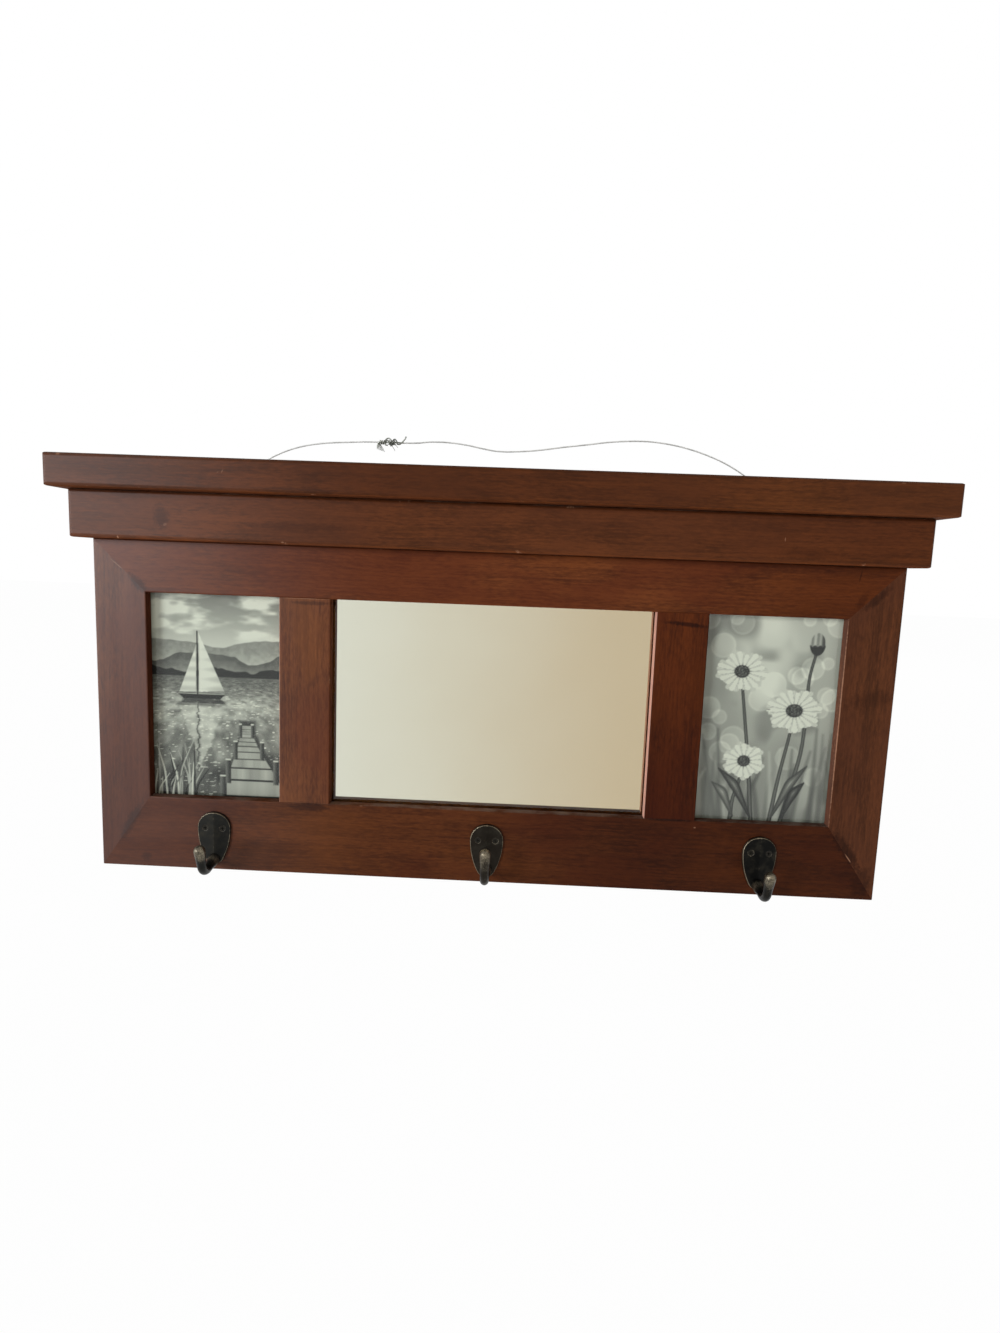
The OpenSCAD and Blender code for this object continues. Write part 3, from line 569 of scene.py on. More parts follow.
def wood(node, light, dark, stain, glow, shift, upright=False, deep=(), gloss=0.5, bare=0.0):
    """Stained and varnished board, with its grain along X, or along Z where it is upright.

    The first list gives where the board is darker, as (axis, start, end, share); its ramps just
    below the cap and the fascia are painted shade. gloss is the varnish's strength at the left end,
    and the last number is how far faces turned to the left are painted paler, a painted light where
    the window falls on them.
    """
    graph = Surface("stained_" + node)
    place = graph.place()
    turn = (0, math.pi / 2, 0) if upright else (0, 0, 0)
    grain = graph.add("ShaderNodeMapping", {"Vector": place, "Location": (shift, shift / 3, 0),
                                            "Rotation": turn}).outputs[0]
    figure = graph.group(figure_group, {"Vector": grain, "Light": light, "Dark": dark, "Stain": stain,
                                        "Glow": glow})
    colour = figure["Color"]
    # darker ramps along an axis; those just below the cap and the fascia are painted shade
    for axis, start, end, share in deep:
        darker = graph.times(ramp(graph, place, axis, start, end), share)
        colour = graph.mix(darker, colour, DARK_AND_SHADE, "MULTIPLY")
    colour = with_marks(graph, place, colour, node, DARK_MARKS, DARK_SPOT, "MULTIPLY")
    # pale nicks and scratches, and painted highlights down the window-facing arrises
    colour = with_marks(graph, place, colour, node, PALE_MARKS_AND_HIGHLIGHTS, PALE_WOOD_AND_HIGHLIGHT, "MIX")
    rubbed = graph.group(edge_group, {"Vector": place, "Reach": 0.64})["Mask"]
    colour = graph.mix(graph.times(rubbed, 0.5), colour, PALE_WOOD_AND_HIGHLIGHT)
    facing = graph.parts(graph.normal())
    backwards, forwards = graph.step(facing[1], 0.5, 0.9), graph.step(facing[1], -0.5, -0.9)
    lit_downwards = graph.step(facing[2], -0.5, -0.9)
    shaded_rightwards, lit_leftwards = graph.step(facing[0], 0.5, 0.9), graph.step(facing[0], -0.5, -0.9)
    colour = graph.mix(graph.times(backwards, 0.45), colour, RAW_BACK)
    # painted shade: faces turned to the right, away from the window, are made darker
    colour = graph.mix(graph.times(shaded_rightwards, 0.6), colour, DARK_AND_SHADE, "MULTIPLY")
    # painted light: faces turned to the left, towards the window, are made paler
    colour = graph.mix(graph.times(lit_leftwards, bare), colour, LIT_SIDE)
    # painted light: faces turned down are made paler, as if lit from below
    colour = graph.mix(lit_downwards, colour, UNDERSIDE_LIGHT, "MULTIPLY")
    dust = graph.group(dust_group, {"Vector": place, "Amount": 0.22})["Mask"]
    colour = graph.mix(dust, colour, DUST)
    rough = graph.times(figure["Bands"], 0.14, 0.38)
    rough = graph.times(graph.minus(1.0, forwards), 0.4, rough)
    # the varnish lies on the front, and thicker towards the left end
    varnish = graph.times(ramp(graph, place, 0, -0.06, -0.25), gloss)
    varnish = graph.times(varnish, graph.times(figure["Bands"], 0.6, 0.7))
    varnish = graph.times(varnish, forwards)
    return graph.finish(colour, rough, figure["Height"], 0.00005,
                        Specular_IOR_Level=WOOD_SHINE, Coat_Weight=varnish, Coat_Roughness=0.42)


RED_WOOD = {"light": linear(108, 56, 28), "dark": linear(66, 30, 15), "stain": linear(80, 33, 17),
            "glow": linear(122, 64, 27)}
BROWN_WOOD = {"light": linear(104, 57, 30), "dark": linear(66, 35, 18),
              "stain": linear(80, 43, 25), "glow": linear(112, 63, 30)}
# how far below an overhanging board the painted shade reaches
OVERHANG_SHADE = 6 * MM
cap_foot, fascia_foot = box("cap_board")[0][2], box("fascia_board")[0][2]


def tinted(stained, red, green, blue, **rest):
    """The same wood with all of its colours a little stronger or weaker, and the board's rest."""
    rest |= {key: tuple(np.multiply(colour, (red, green, blue, 1)).tolist())
             for key, colour in stained.items()}
    return rest


# the ramps just below cap_foot and fascia_foot are painted shade under the board above, and the share for
# pale left-facing faces is painted light
BOARDS = {
    "cap_board": tinted(BROWN_WOOD, 0.98, 0.97, 0.86, shift=0.31, gloss=0.3, deep=[(0, 0.26, 0.05, 0.42)]),
    "fascia_board": tinted(BROWN_WOOD, 1.0, 0.97, 0.9, shift=1.7, gloss=0.3, deep=[
        (2, cap_foot - OVERHANG_SHADE, cap_foot, 0.35), (0, 0.1, 0.26, 0.4)]),
    "top_rail": tinted(RED_WOOD, 1.1, 1.15, 1.06, shift=2.9, gloss=0.52, deep=[
        (2, fascia_foot - OVERHANG_SHADE, fascia_foot, 0.35), (0, 0.1, 0.25, 0.75)]),
    "bottom_rail": tinted(RED_WOOD, 0.77, 0.84, 0.76, shift=4.3, gloss=0.46, deep=[(0, -0.03, 0.13, 0.8)]),
    "left_stile": tinted(RED_WOOD, 0.88, 1.0, 1.08, shift=5.1, upright=True, gloss=0.66,
                         deep=[(2, -0.15, -0.28, 0.5)]),
    "right_stile": tinted(BROWN_WOOD, 0.93, 1.0, 1.18, shift=6.7, upright=True, bare=0.06),
    "left_mullion": tinted(RED_WOOD, 1.12, 1.34, 1.45, shift=7.9, upright=True, gloss=0.8, bare=0.4),
    "right_mullion": tinted(RED_WOOD, 0.71, 0.61, 0.44, shift=9.2, upright=True, bare=0.75,
                            deep=[(2, -0.12, -0.21, 0.6)])}

# ---------- metals, boards and paper ----------


def plain_metal(name, bright, dull, roughness, metallic=1.0):
    """Plated or drawn metal with fine scratches and a cloudy tarnish."""
    graph = Surface(name)
    wear = graph.group(scratch_group, {"Vector": graph.place()})
    colour = graph.mix(wear["Tarnish"], bright, dull)
    colour = graph.mix(graph.times(wear["Lines"], 0.4), colour, bright)
    rough = graph.times(wear["Tarnish"], 0.22, roughness)
    return graph.finish(colour, rough, wear["Lines"], 0.00001, Metallic=metallic)


BRONZE_OLIVE = linear(48, 45, 38)
BRONZE_WORN = linear(176, 164, 140)


def cast_bronze(name, dark, worn_from_mesh):
    """Dark bronze patina, rubbed through to the metal where the mesh says that it is worn; on the hooks'
    plates this rub is stronger on the left, a painted highlight.
    """
    graph = Surface(name)
    place = graph.place()
    cloud = graph.noise(place, 160, 4.0, 0.6)
    grit = graph.noise(place, 1700, 3.0, 0.6)
    olive = graph.times(graph.step(cloud, 0.42, 0.72), 0.5)
    colour = graph.mix(olive, dark, BRONZE_OLIVE)
    if worn_from_mesh:
        worn = graph.add("ShaderNodeAttribute", attribute_name="worn").outputs["Fac"]
    else:
        worn = graph.group(edge_group, {"Vector": place, "Scale": 500.0, "Reach": 0.5})["Mask"]
    broken = graph.times(graph.minus(grit, 0.5), 0.7, worn)
    broken = graph.times(graph.minus(cloud, 0.5), 0.5, broken)
    bare = graph.step(broken, 0.18, 0.85)
    colour = graph.mix(bare, colour, BRONZE_WORN)
    rough = graph.times(bare, -0.10, graph.times(grit, 0.16, 0.34))
    return graph.finish(colour, rough, grit, 0.00005, Metallic=0.94)


def hardboard():
    """Pressed brown board: felted fibres, dark flecks and a scuffed, hard face."""
    graph = Surface("pressed_hardboard")
    place = graph.place()
    felt = graph.streaks(place, (900, 900, 300), 4.0, 0.7)
    fleck = graph.step(graph.noise(place, 1200, 2.0), 0.66, 0.72)
    cloud = graph.noise(place, 30, 3.0)
    colour = graph.mix(graph.step(felt, 0.3, 0.7), linear(96, 62, 38), linear(134, 92, 60))
    colour = graph.mix(graph.step(cloud, 0.4, 0.7), colour, linear(110, 74, 48))
    colour = graph.mix(graph.times(fleck, 0.6), colour, linear(62, 40, 26))
    rough = graph.times(felt, 0.25, 0.45)
    return graph.finish(colour, rough, felt, 0.00008, Specular_IOR_Level=0.3)


def grained(name, draw, dark, light, spread, depth, shine):
    """A dull stuff whose colour, roughness and height all follow one texture.

    draw(graph, place) makes the texture, and spread is where it turns from dark to light.
    """
    graph = Surface(name)
    texture = draw(graph, graph.place())
    colour = graph.mix(graph.step(texture, *spread), dark, light)
    return graph.finish(colour, graph.times(texture, 0.2, 0.7), texture, depth, Specular_IOR_Level=shine)


def card():
    """Grey-brown packing card with short fibres."""
    return grained("packing_card", lambda graph, place: graph.streaks(place, (300, 1500, 900), 4.0, 0.7),
                   linear(140, 112, 80), linear(176, 148, 112), (0.3, 0.7), 0.0001, 0.2)


def foam():
    """Black cellular foam rubber."""
    def cells(graph, place):
        """Distance from the middle of the nearest cell."""
        return graph.add("ShaderNodeTexVoronoi", {"Vector": place, "Scale": 1600.0}).outputs[0]

    return grained("foam_rubber_pads", cells, linear(20, 20, 20), linear(52, 51, 49), (0.1, 0.6),
                   0.0002, 0.25)


def printed_paper():
    """Satin paper that carries the printed tones of its mesh, with a faint paper grain."""
    graph = Surface("satin_print")
    place = graph.place()
    tone = graph.add("ShaderNodeAttribute", attribute_name="print_tone").outputs["Color"]
    grain = graph.noise(place, 2600, 2.0, 0.6)
    colour = graph.mix(graph.times(grain, 0.08), tone, linear(120, 120, 114))
    rough = graph.times(grain, 0.15, 0.42)
    return graph.finish(colour, rough, grain, 0.00002, Specular_IOR_Level=0.1)


def silver_with_painted_reflection():
    """Silvered back of the mirror, with a painted reflection: cooler at the left and warmer to the right.
    """
    graph = Surface("silvered_back_with_painted_reflection")
    place = graph.place()
    low, high = box("mirror_glass")
    x = graph.parts(place)[0]
    across = graph.add("ShaderNodeMapRange", {"Value": x, "From Min": float(low[0]),
                                              "From Max": float(high[0])}).outputs[0]
    cloud = graph.noise(place, 9, 2.0)
    across = graph.times(graph.minus(cloud, 0.5), 0.25, across)
    # painted reflection: the silver goes from a cool pale tone on the left to a warm cream on the right
    colour = graph.mix(graph.step(across, -0.1, 1.0), linear(221, 220, 205), linear(199, 181, 149))
    specks = graph.step(graph.noise(place, 700, 1.0), 0.76, 0.79)
    colour = graph.mix(graph.times(specks, 0.12), colour, linear(120, 112, 96))
    haze = graph.times(cloud, 0.02, 0.01)
    return graph.finish(colour, haze, Metallic=1.0)


GLASS_IOR = 1.45


def clear_glass(name, tint):
    """Clear pane: the view through it, with a gloss that grows at a slant."""
    graph = Surface(name)
    graph.tree.nodes.remove(graph.shader)
    smear = graph.streaks(graph.place(), (40, 40, 90), 4.0, 0.6)
    rough = graph.times(graph.step(smear, 0.5, 0.8), 0.05, 0.01)
    through = graph.add("ShaderNodeBsdfTransparent", {"Color": tint}).outputs[0]
    gloss = graph.add("ShaderNodeBsdfGlossy", {"Color": (1, 1, 1, 1), "Roughness": rough})
    # only the outer side is glossy, so that slanting light doesn't stay inside the pane
    inner = graph.add("ShaderNodeNewGeometry").outputs["Backfacing"]
    fresnel = graph.add("ShaderNodeFresnel", {"IOR": GLASS_IOR}).outputs[0]
    share = graph.times(fresnel, graph.minus(1.0, inner))
    graph.cover(share, through, gloss.outputs[0])
    return graph.material


# ---------- coat hooks ----------

PLATE_FOOT_R = 0.007
PLATE_T = 0.0028
PLATE_FALL = 0.001
PLATE_DRAFT = 0.0005
PLATE_H = 0.0384
ROD_R = 0.003
ROOT_R = 0.0046
BEND_R = 0.0085
BEND_OUT = 0.015
ROOT_SLOPE = math.radians(12)
TIP_R = 0.0038
ROD_SIDES = 40
SCREW_GAP = 0.0124
SCREW_DROP = 0.0116
SCREW_HOLE_R = 0.00205
SCREW_SHANK_R = 0.00125
# how far the screws' heads lie below the plate's face, and how softly its face turns into its rim
HEAD_DROP = SOFT_RIM = 0.3 * MM
# height of each hook, how far its arm leans out, in degrees, how long the arm is, and its patina,
# made lighter on the left hook and darker on the right as painted light and shade
HOOKS = {"left_coat_hook": (0.040, 15, 0.012, linear(31, 31, 29)),
         "center_coat_hook": (0.0378, 4, 0.014, linear(31, 27, 22)),
         "right_coat_hook": (0.040, 15, 0.012, linear(17, 17, 16))}


def plate_arcs(top_r):
    """The right half of the plate's outline: top, flank and foot, three arcs that touch.

    Each is (centre's X and Z, radius, end angles), measured from the top arc's centre.
    """
    drop = PLATE_H - top_r - PLATE_FOOT_R
    flank_r = (drop**2 + top_r**2 - PLATE_FOOT_R**2) / (2 * (top_r - PLATE_FOOT_R))
    low = math.atan2(-drop, flank_r - top_r)
    return [((0, 0), top_r, math.pi / 2, 0), ((top_r - flank_r, 0), flank_r, 0, low),
            ((0, -drop), PLATE_FOOT_R, low, -math.pi / 2)]


def plate_edge(arcs, count):
    """Points along the arcs, from the plate's top to its foot."""
    lengths = [r * (a - b) for _, r, a, b in arcs]
    points = []
    for (centre, r, a, b), length in zip(arcs, lengths):
        angle = np.linspace(a, b, max(4, round(count * length / sum(lengths))), endpoint=False)
        points.append(np.array(centre) + r * np.stack([np.cos(angle), np.sin(angle)], -1))
    (x, z), foot_r = arcs[-1][:2]
    return np.vstack(points + [[[x, z - foot_r]]])


def inward_of(arcs, x, z):
    """How far points lie inside the outline: each is measured from the arc that it faces."""
    (_, top_r, _, _), ((flank_x, _), flank_r, _, low), ((_, foot_z), foot_r, _, _) = arcs
    x = np.abs(x)
    from_top = top_r - np.hypot(x, z)
    from_flank = flank_r - np.hypot(x - flank_x, z)
    from_foot = foot_r - np.hypot(x, z - foot_z)
    faces_foot = np.arctan2(z, x - flank_x) < low
    return np.maximum(np.where(z > 0, from_top, np.where(faces_foot, from_foot, from_flank)), 0)


def plate_shell(middle, top, rail, plate_r):
    """The cast plate, with how far it is rubbed at each point; the rim's rub is stronger on its left, a
    painted highlight.

    Its height above the rail is the lower of two faces that fall away from a ridge and of a
    slanting rim, rounded where they meet, less two countersunk holes.
    """
    arcs = plate_arcs(plate_r)
    edge = plate_edge(arcs, 150)
    across = np.sin(np.linspace(-np.pi / 2, np.pi / 2, 110))
    x = edge[:, :1] * across
    z = np.broadcast_to(edge[:, 1:], x.shape)
    inward = inward_of(arcs, x, z)
    face = PLATE_T - PLATE_FALL * np.sqrt(x**2 + (0.15 * MM) ** 2) / plate_r
    rim = inward / PLATE_DRAFT * PLATE_T
    blend = np.clip(0.5 + (rim - face) / (2 * SOFT_RIM), 0, 1)
    height = rim * (1 - blend) + face * blend - SOFT_RIM * blend * (1 - blend)
    seat = PLATE_T - PLATE_FALL * SCREW_GAP / (2 * plate_r) - HEAD_DROP
    off = np.hypot(np.abs(x) - SCREW_GAP / 2, z - plate_r + SCREW_DROP)
    pit = np.where(off < SCREW_HOLE_R, seat - (SCREW_HOLE_R - np.maximum(off, SCREW_SHANK_R)), 1)
    height = np.clip(np.minimum(height, pit), 0, None)
    arris = face / PLATE_T * PLATE_DRAFT
    # painted highlight: the rim's rub grows towards the left, where the window light falls
    rubbed = (0.54 - 0.1 * x / plate_r) * np.exp(-(((inward - arris) / (0.32 * MM)) ** 2))
    rubbed += 0.38 * np.exp(-(((off - SCREW_HOLE_R - 0.1 * MM) / (0.24 * MM)) ** 2))
    rubbed += 0.22 * np.exp(-((x / (0.26 * MM)) ** 2))
    points = np.stack([middle + x, rail - height, top - plate_r + z], -1)
    return shell(points, capped=False), rubbed.ravel()


def rod_shell(middle, foot, rail, lean, arm):
    """The rod: circles along a path in the Y-Z plane, with how far it is rubbed at each point.

    The path leaves the plate with a flared root, turns up round a bend and ends in a straight
    arm that swells into a ball.
    """
    bend = np.array([rail - BEND_OUT, foot + ROD_R + BEND_R])
    low = bend + BEND_R * np.array([math.sin(ROOT_SLOPE), -math.cos(ROOT_SLOPE)])
    root = low + (rail - low[0]) * np.array([1, math.tan(ROOT_SLOPE)])
    turn = bend - BEND_R * np.array([math.cos(lean), math.sin(lean)])
    up = np.array([-math.sin(lean), math.cos(lean)])
    t = np.linspace(0, 1, 14, endpoint=False)[:, None]
    in_root = root + (low - root) * t
    a = ROOT_SLOPE - (ROOT_SLOPE + math.pi / 2 - lean) * np.linspace(0, 1, 40)
    in_bend = bend + BEND_R * np.stack([np.sin(a), -np.cos(a)], -1)
    s = np.linspace(0, 1, 17)[1:, None]
    in_arm = turn + arm * up * s
    b = np.linspace(0, np.pi / 2, 14)[1:]
    in_ball = in_arm[-1] + TIP_R * np.sin(b)[:, None] * up
    path = np.vstack([in_root, in_bend, in_arm, in_ball])
    radii = np.concatenate([ROD_R + (ROOT_R - ROD_R) * smooth(1 - t[:, 0]), np.full_like(a, ROD_R),
                            ROD_R + (TIP_R - ROD_R) * smooth(s[:, 0]), TIP_R * np.cos(b)])
    # the ball's last ring is almost a point
    radii[-1] = TIP_R * 0.02
    rubbed = np.concatenate([0.4 * np.exp(-(((t[:, 0] - 0.45) / 0.3) ** 2)), np.full_like(a, 0.12),
                             0.12 + 0.3 * smooth(s[:, 0]), np.full_like(b, 0.42)])
    line = np.column_stack([np.full(len(path), middle), path])
    return shell(tube(line, radii, ROD_SIDES)), np.repeat(rubbed, ROD_SIDES)


# ---------- printed pictures ----------


def lattice_noise(x, y, cell, seed, octaves=3):
    """Smooth noise from 0 to 1: random heights on a lattice, eased from point to point.

    Each further octave has half the cell and half the strength.
    """
    total, weight, size = 0.0, 0.0, 64
    for octave in range(octaves):
        heights = np.random.default_rng(seed + octave).random((size, size))
        u, v = x / cell * 2**octave, y / cell * 2**octave
        i, j = np.floor(u).astype(int), np.floor(v).astype(int)
        s, t = smooth(u - i), smooth(v - j)
        i, j, right, above = i % size, j % size, (i + 1) % size, (j + 1) % size
        low = heights[i, j] * (1 - s) + heights[right, j] * s
        high = heights[i, above] * (1 - s) + heights[right, above] * s
        total = total + (low * (1 - t) + high * t) * 0.5**octave
        weight += 0.5**octave
    return total / weight


def inside(distance, soft):
    """Mask from a signed distance, 1 where it is positive, with a soft edge."""
    return smooth(0.5 + distance / soft)


def over(tone, layer, mask):
    """The layer laid over the tone by the mask."""
    return tone * (1 - mask) + layer * mask


def paint(tone, layer, distance, soft, strength=1.0):
    """The layer laid over the tone where a signed distance is positive."""
    return over(tone, layer, inside(distance, soft) * strength)


def stroke(x, z, points, widths):
    """Signed distance into a tapering stroke that runs along a smoothed line through points."""
    t = np.linspace(0, 1, 26)
    knots = np.linspace(0, 1, len(points))
    line = np.array([np.interp(t, knots, [p[k] for p in points]) for k in (0, 1)])
    for _ in range(4):
        line[:, 1:-1] = (line[:, :-2] + 2 * line[:, 1:-1] + line[:, 2:]) / 4
    width = np.interp(t, np.linspace(0, 1, len(widths)), widths)
    best = np.full(x.shape, -1e3)
    for (a, b), (c, d), w in zip(line.T[:-1], line.T[1:], width):
        span = (c - a) ** 2 + (d - b) ** 2 + 1e-9
        run = np.clip(((x - a) * (c - a) + (z - b) * (d - b)) / span, 0, 1)
        best = np.maximum(best, w - np.hypot(x - a - run * (c - a), z - b - run * (d - b)))
    return best


def within(x, z, corners):
    """Signed distance into a convex outline whose corners go round clockwise."""
    best = np.full(x.shape, 1e3)
    for (a, b), (c, d) in zip(corners, corners[1:] + corners[:1]):
        best = np.minimum(best, ((x - a) * (d - b) - (z - b) * (c - a)) / np.hypot(c - a, d - b))
    return best


def sky_and_hills(x, z, shore):
    """A cloudy sky over three ridges, each nearer, lower and darker than the last."""
    tone = 0.52 + 0.32 * smooth((60 - np.abs(z - 24)) / 60)
    clouds = lattice_noise(x, z * 2.6, 26, 3, 4)
    tone = over(tone, 0.97, smooth((clouds - 0.48) / 0.25) * smooth((z - 30) / 20) * 0.8)
    tone = over(tone, 0.48, smooth((0.36 - clouds) / 0.2) * smooth((z - 40) / 20) * 0.5)
    for base, swell, cell, grey, seed in ((38, 16, 34, 0.60, 11), (28, 13, 24, 0.44, 21),
                                          (19, 9, 12, 0.24, 31)):
        ridge = base + swell * (lattice_noise(x, 0 * x, cell, seed, 4) - 0.5)
        haze = grey + 0.20 * smooth((ridge - z) / (ridge - shore + 1)) * (grey > 0.3)
        texture = 0.10 * (lattice_noise(x, z, 2.4, seed + 5, 2) - 0.5)
        tone = paint(tone, haze + texture, ridge - z, 0.8)
    return tone


def rippled_water(x, z, shore):
    """Water with ripples that widen towards the viewer, the hills' dark reflection and glints."""
    near = 1.0 + np.maximum(shore - z, 0) / 18
    ripple = lattice_noise(x / near, (shore - z) / near**1.1 * 5, 1.8, 41, 3)
    water = 0.74 - 0.36 * smooth((shore - z) / 95) + 0.42 * (ripple - 0.5)
    water -= 0.34 * smooth((z - shore + 24) / 24) * (0.55 + 0.45 * ripple)
    glints = smooth((lattice_noise(x, z * 4, 3, 51, 2) - 0.72) / 0.1)
    return water + 0.35 * glints * smooth((shore - z) / 20)


def sailing_boat(tone, x, z, middle, line):
    """A boat with two sails, and fainter and wavering below the waterline."""
    for sign, strength, soft in ((1, 1.0, 0.7), (-1, 0.55, 2.2)):
        waver = (1 - sign) * 1.8 * (lattice_noise(x * 0 + 7, z, 1.6, 61, 2) - 0.5)
        u, v = x + waver - middle, sign * (z - line) * (1.0 if sign > 0 else 0.9)
        main_sail = within(u, v, [(1, 5), (1.5, 46), (19, 6)])
        jib = within(u, v, [(-13, 4.5), (-0.5, 38), (-1, 5)])
        hull = within(u, v, [(-15, 4.2), (20, 3.6), (16, 0), (-10, 0)])
        shade = 0.92 - 0.12 * smooth(u / 18) - 0.05 * np.cos(v * 0.9)
        for layer, outline in ((shade, main_sail), (shade - 0.08, jib), (0.10, hull)):
            tone = paint(tone, layer, outline, soft, strength)
        stripe = inside(0.35 - np.abs(v - 3.4), 0.5) * inside(hull, soft)
        tone = over(tone, 0.75, stripe * strength)
        mast = np.minimum(0.35 - np.abs(u - 0.2), np.minimum(48 - v, v - 3))
        tone = paint(tone, 0.16, mast, 0.6, strength)
    return tone


def wooden_jetty(tone, x, z):
    """A deck of planks that narrows into the distance, on posts with light tops."""

    def sides(height):
        """X of the deck's two edges at a height."""
        far = smooth((height + 80) / 62)
        return 2 + 14 * far, 49 - 26 * far

    left, right = sides(z)
    deck = np.minimum(np.minimum(x - left, right - x), -20 - z)
    rows = 6 / (1.32 - np.clip((z + 80) / 62, 0, 1))
    gaps = smooth((np.abs(rows % 1 - 0.5) - 0.40) / 0.06)
    boards = 0.68 + 0.18 * (lattice_noise(np.floor(rows) * 3.3, x / 1.4, 4, 71, 3) - 0.5)
    shade = np.minimum(np.minimum(x - left + 1, right + 3 - x), -17 - z)
    tone = paint(tone, 0.18, shade, 3.0, 0.6)
    tone = paint(tone, boards - 0.44 * gaps, deck, 0.8)
    for share in (0.05, 0.32, 0.62, 0.9):
        foot, reach, half = -74 + 54 * share, 15 - 9.3 * share, 2.4 - 1.44 * share
        for side in sides(np.array(foot)):
            post = np.minimum(half - np.abs(x - side), np.minimum(z - foot + reach / 2, foot + reach - z))
            tone = paint(tone, 0.24 + 0.27 * smooth((side - x + half) / (2 * half)), post, 0.7)
            tone = paint(tone, 0.82, np.minimum(post, z - foot - reach + 1.2), 0.6)
    return tone


def lake_picture(x, z):
    """Grey tones of a lake below hills, with a sailing boat, a jetty and reeds."""
    shore = 14.0
    tone = sky_and_hills(x, z, shore)
    tone = paint(tone, rippled_water(x, z, shore), shore - z, 0.6)
    tone = sailing_boat(tone, x, z, -15.0, -2.0)
    tone = wooden_jetty(tone, x, z)
    rng = np.random.default_rng(5)
    for _ in range(34):
        root, lean, tall = rng.uniform(-52, -16), rng.uniform(-9, 13), rng.uniform(16, 46)
        grey = rng.choice([0.12, 0.20, 0.5, 0.74, 0.9])
        points = [(root, -80), (root + lean * 0.25, -80 + tall * 0.6), (root + lean, -78 + tall)]
        tone = paint(tone, grey, stroke(x, z, points, [0.75, 0.6, 0.15]), 0.6, 0.9)
    return tone


def blurred_meadow(x, z):
    """Soft light and dark patches, pale discs of light and out-of-focus blades."""
    tone = 0.54 + 0.30 * lattice_noise(x, z * 0.7, 34, 7, 2) + 0.08 * smooth((z + 20) / 90)
    tone = over(tone, 0.50, smooth((lattice_noise(x, z, 22, 17, 2) - 0.54) / 0.2) * 0.6)
    rng = np.random.default_rng(12)
    for _ in range(26):
        a, b, r = rng.uniform(-50, 50), rng.uniform(-40, 76), rng.uniform(4, 9)
        d = r - np.hypot(x - a, z - b)
        tone += 0.10 * inside(d, 1.8) * (0.6 + 0.4 * smooth((2 - d) / 2))
    for _ in range(30):
        root, lean, tall = rng.uniform(-55, 55), rng.uniform(-14, 14), rng.uniform(-40, 0)
        points = [(root, -80), (root + lean * 0.4, -50), (root + lean, tall)]
        grey = rng.choice([0.36, 0.46, 0.74, 0.82])
        tone = paint(tone, grey, stroke(x, z, points, [2.2, 1.6, 0.3]), 3.5, 0.55)
    return tone


def open_flower(tone, u, v, radius, petals, turn):
    """Two layers of rounded petals, creased along their length, round a dotted centre."""
    r = np.hypot(u, v)
    for layer, (spin, size, dim) in enumerate(((0.5, 1.0, 0.16), (0.0, 0.94, 0.0))):
        cycle = (np.arctan2(v, u) + turn) * petals / (2 * np.pi) + spin
        offset, which = cycle % 1 - 0.5, np.floor(cycle)
        length = radius * size * (0.94 + 0.10 * np.sin(which * 2.4 + layer))
        reach = r / length
        rounding = np.sqrt(1 - np.clip((reach - 0.62) / 0.40, 0, 1) ** 2)
        half = 0.47 * rounding * smooth((reach + 0.35) / 0.6)
        petal = (half - np.abs(offset)) * (2 * np.pi / petals) * r
        crease = 0.07 * np.cos(offset * 34) + 0.18 * smooth((np.abs(offset) - 0.24) / 0.2)
        shade = 0.97 - dim - crease - 0.22 * smooth((0.5 - reach) / 0.3)
        tone = paint(tone, shade, np.minimum(petal, length - r), 0.7)
    centre = radius * 0.27 - r
    dots = 0.18 + 0.34 * lattice_noise(u, v, 0.9, 91, 1) + 0.18 * smooth((v - u) / radius)
    tone = paint(tone, dots, centre, 0.7)
    return paint(tone, 0.12, 0.5 - np.abs(centre), 0.8, 0.5)


def flower_picture(x, z):
    """Grey tones of three open flowers and a bud on tall stems before a blurred meadow."""
    tone = blurred_meadow(x, z)
    for points in ([(-4, -80), (-10, -30), (-16, 10), (-19, 30)],
                   [(7, -80), (12, -40), (17, -12), (19, 4)],
                   [(-20, -80), (-19, -58), (-15, -44), (-13, -32)],
                   [(14, -80), (27, -20), (27, 30), (31, 50)]):
        stem = stroke(x, z, points, [1.5, 1.2, 1.0, 0.9])
        tone = paint(tone, 0.17 + 0.30 * smooth(stem), stem, 0.7)
    for root, lean, tall, grey in ((-6, -24, 34, 0.26), (9, 22, 38, 0.32), (16, 14, 26, 0.20),
                                   (-18, -16, 24, 0.36)):
        points = [(root, -70), (root + lean / 2, -66 + tall * 0.55), (root + lean, -70 + tall)]
        leaf = stroke(x, z, points, [0.8, 3.4, 0.2])
        tone = paint(tone, grey + 0.22 * smooth(leaf / 3), leaf, 0.8)
        tone = paint(tone, grey + 0.4, leaf - 2.9, 0.6, 0.6)
    for middle, height, radius, petals, turn, squeeze in (
            (-19, 33, 18, 17, 0.3, 0.84), (19, 7, 20, 19, 0.0, 0.80), (-13, -30, 15, 15, 0.7, 0.9)):
        tone = open_flower(tone, x - middle, (z - height) / squeeze, radius, petals, turn)
    u, v = x - 31, z - 54
    bud = np.hypot(u / 5.0, v / 7.5)
    tone = paint(tone, 0.66 - 0.25 * smooth(u / 5) - 0.1 * np.cos(u * 1.7), (1 - bud) * 6, 0.8)
    cup = np.minimum((1.08 - bud) * 6, 1.5 * np.abs(np.sin(u * 0.9)) - v - 2.5)
    return paint(tone, 0.24, cup, 0.8)


PRINT_BLACK = np.array([32, 33, 31])
PRINT_WHITE = np.array([230, 230, 215])
# the tone that prints as middle grey, and how steeply tones part from it
PRINT_MIDDLE = 0.565
PRINT_CONTRAST = 1.6
PRINT_CELL = 0.5 * MM
PRINT_INSET = 0.05 * MM


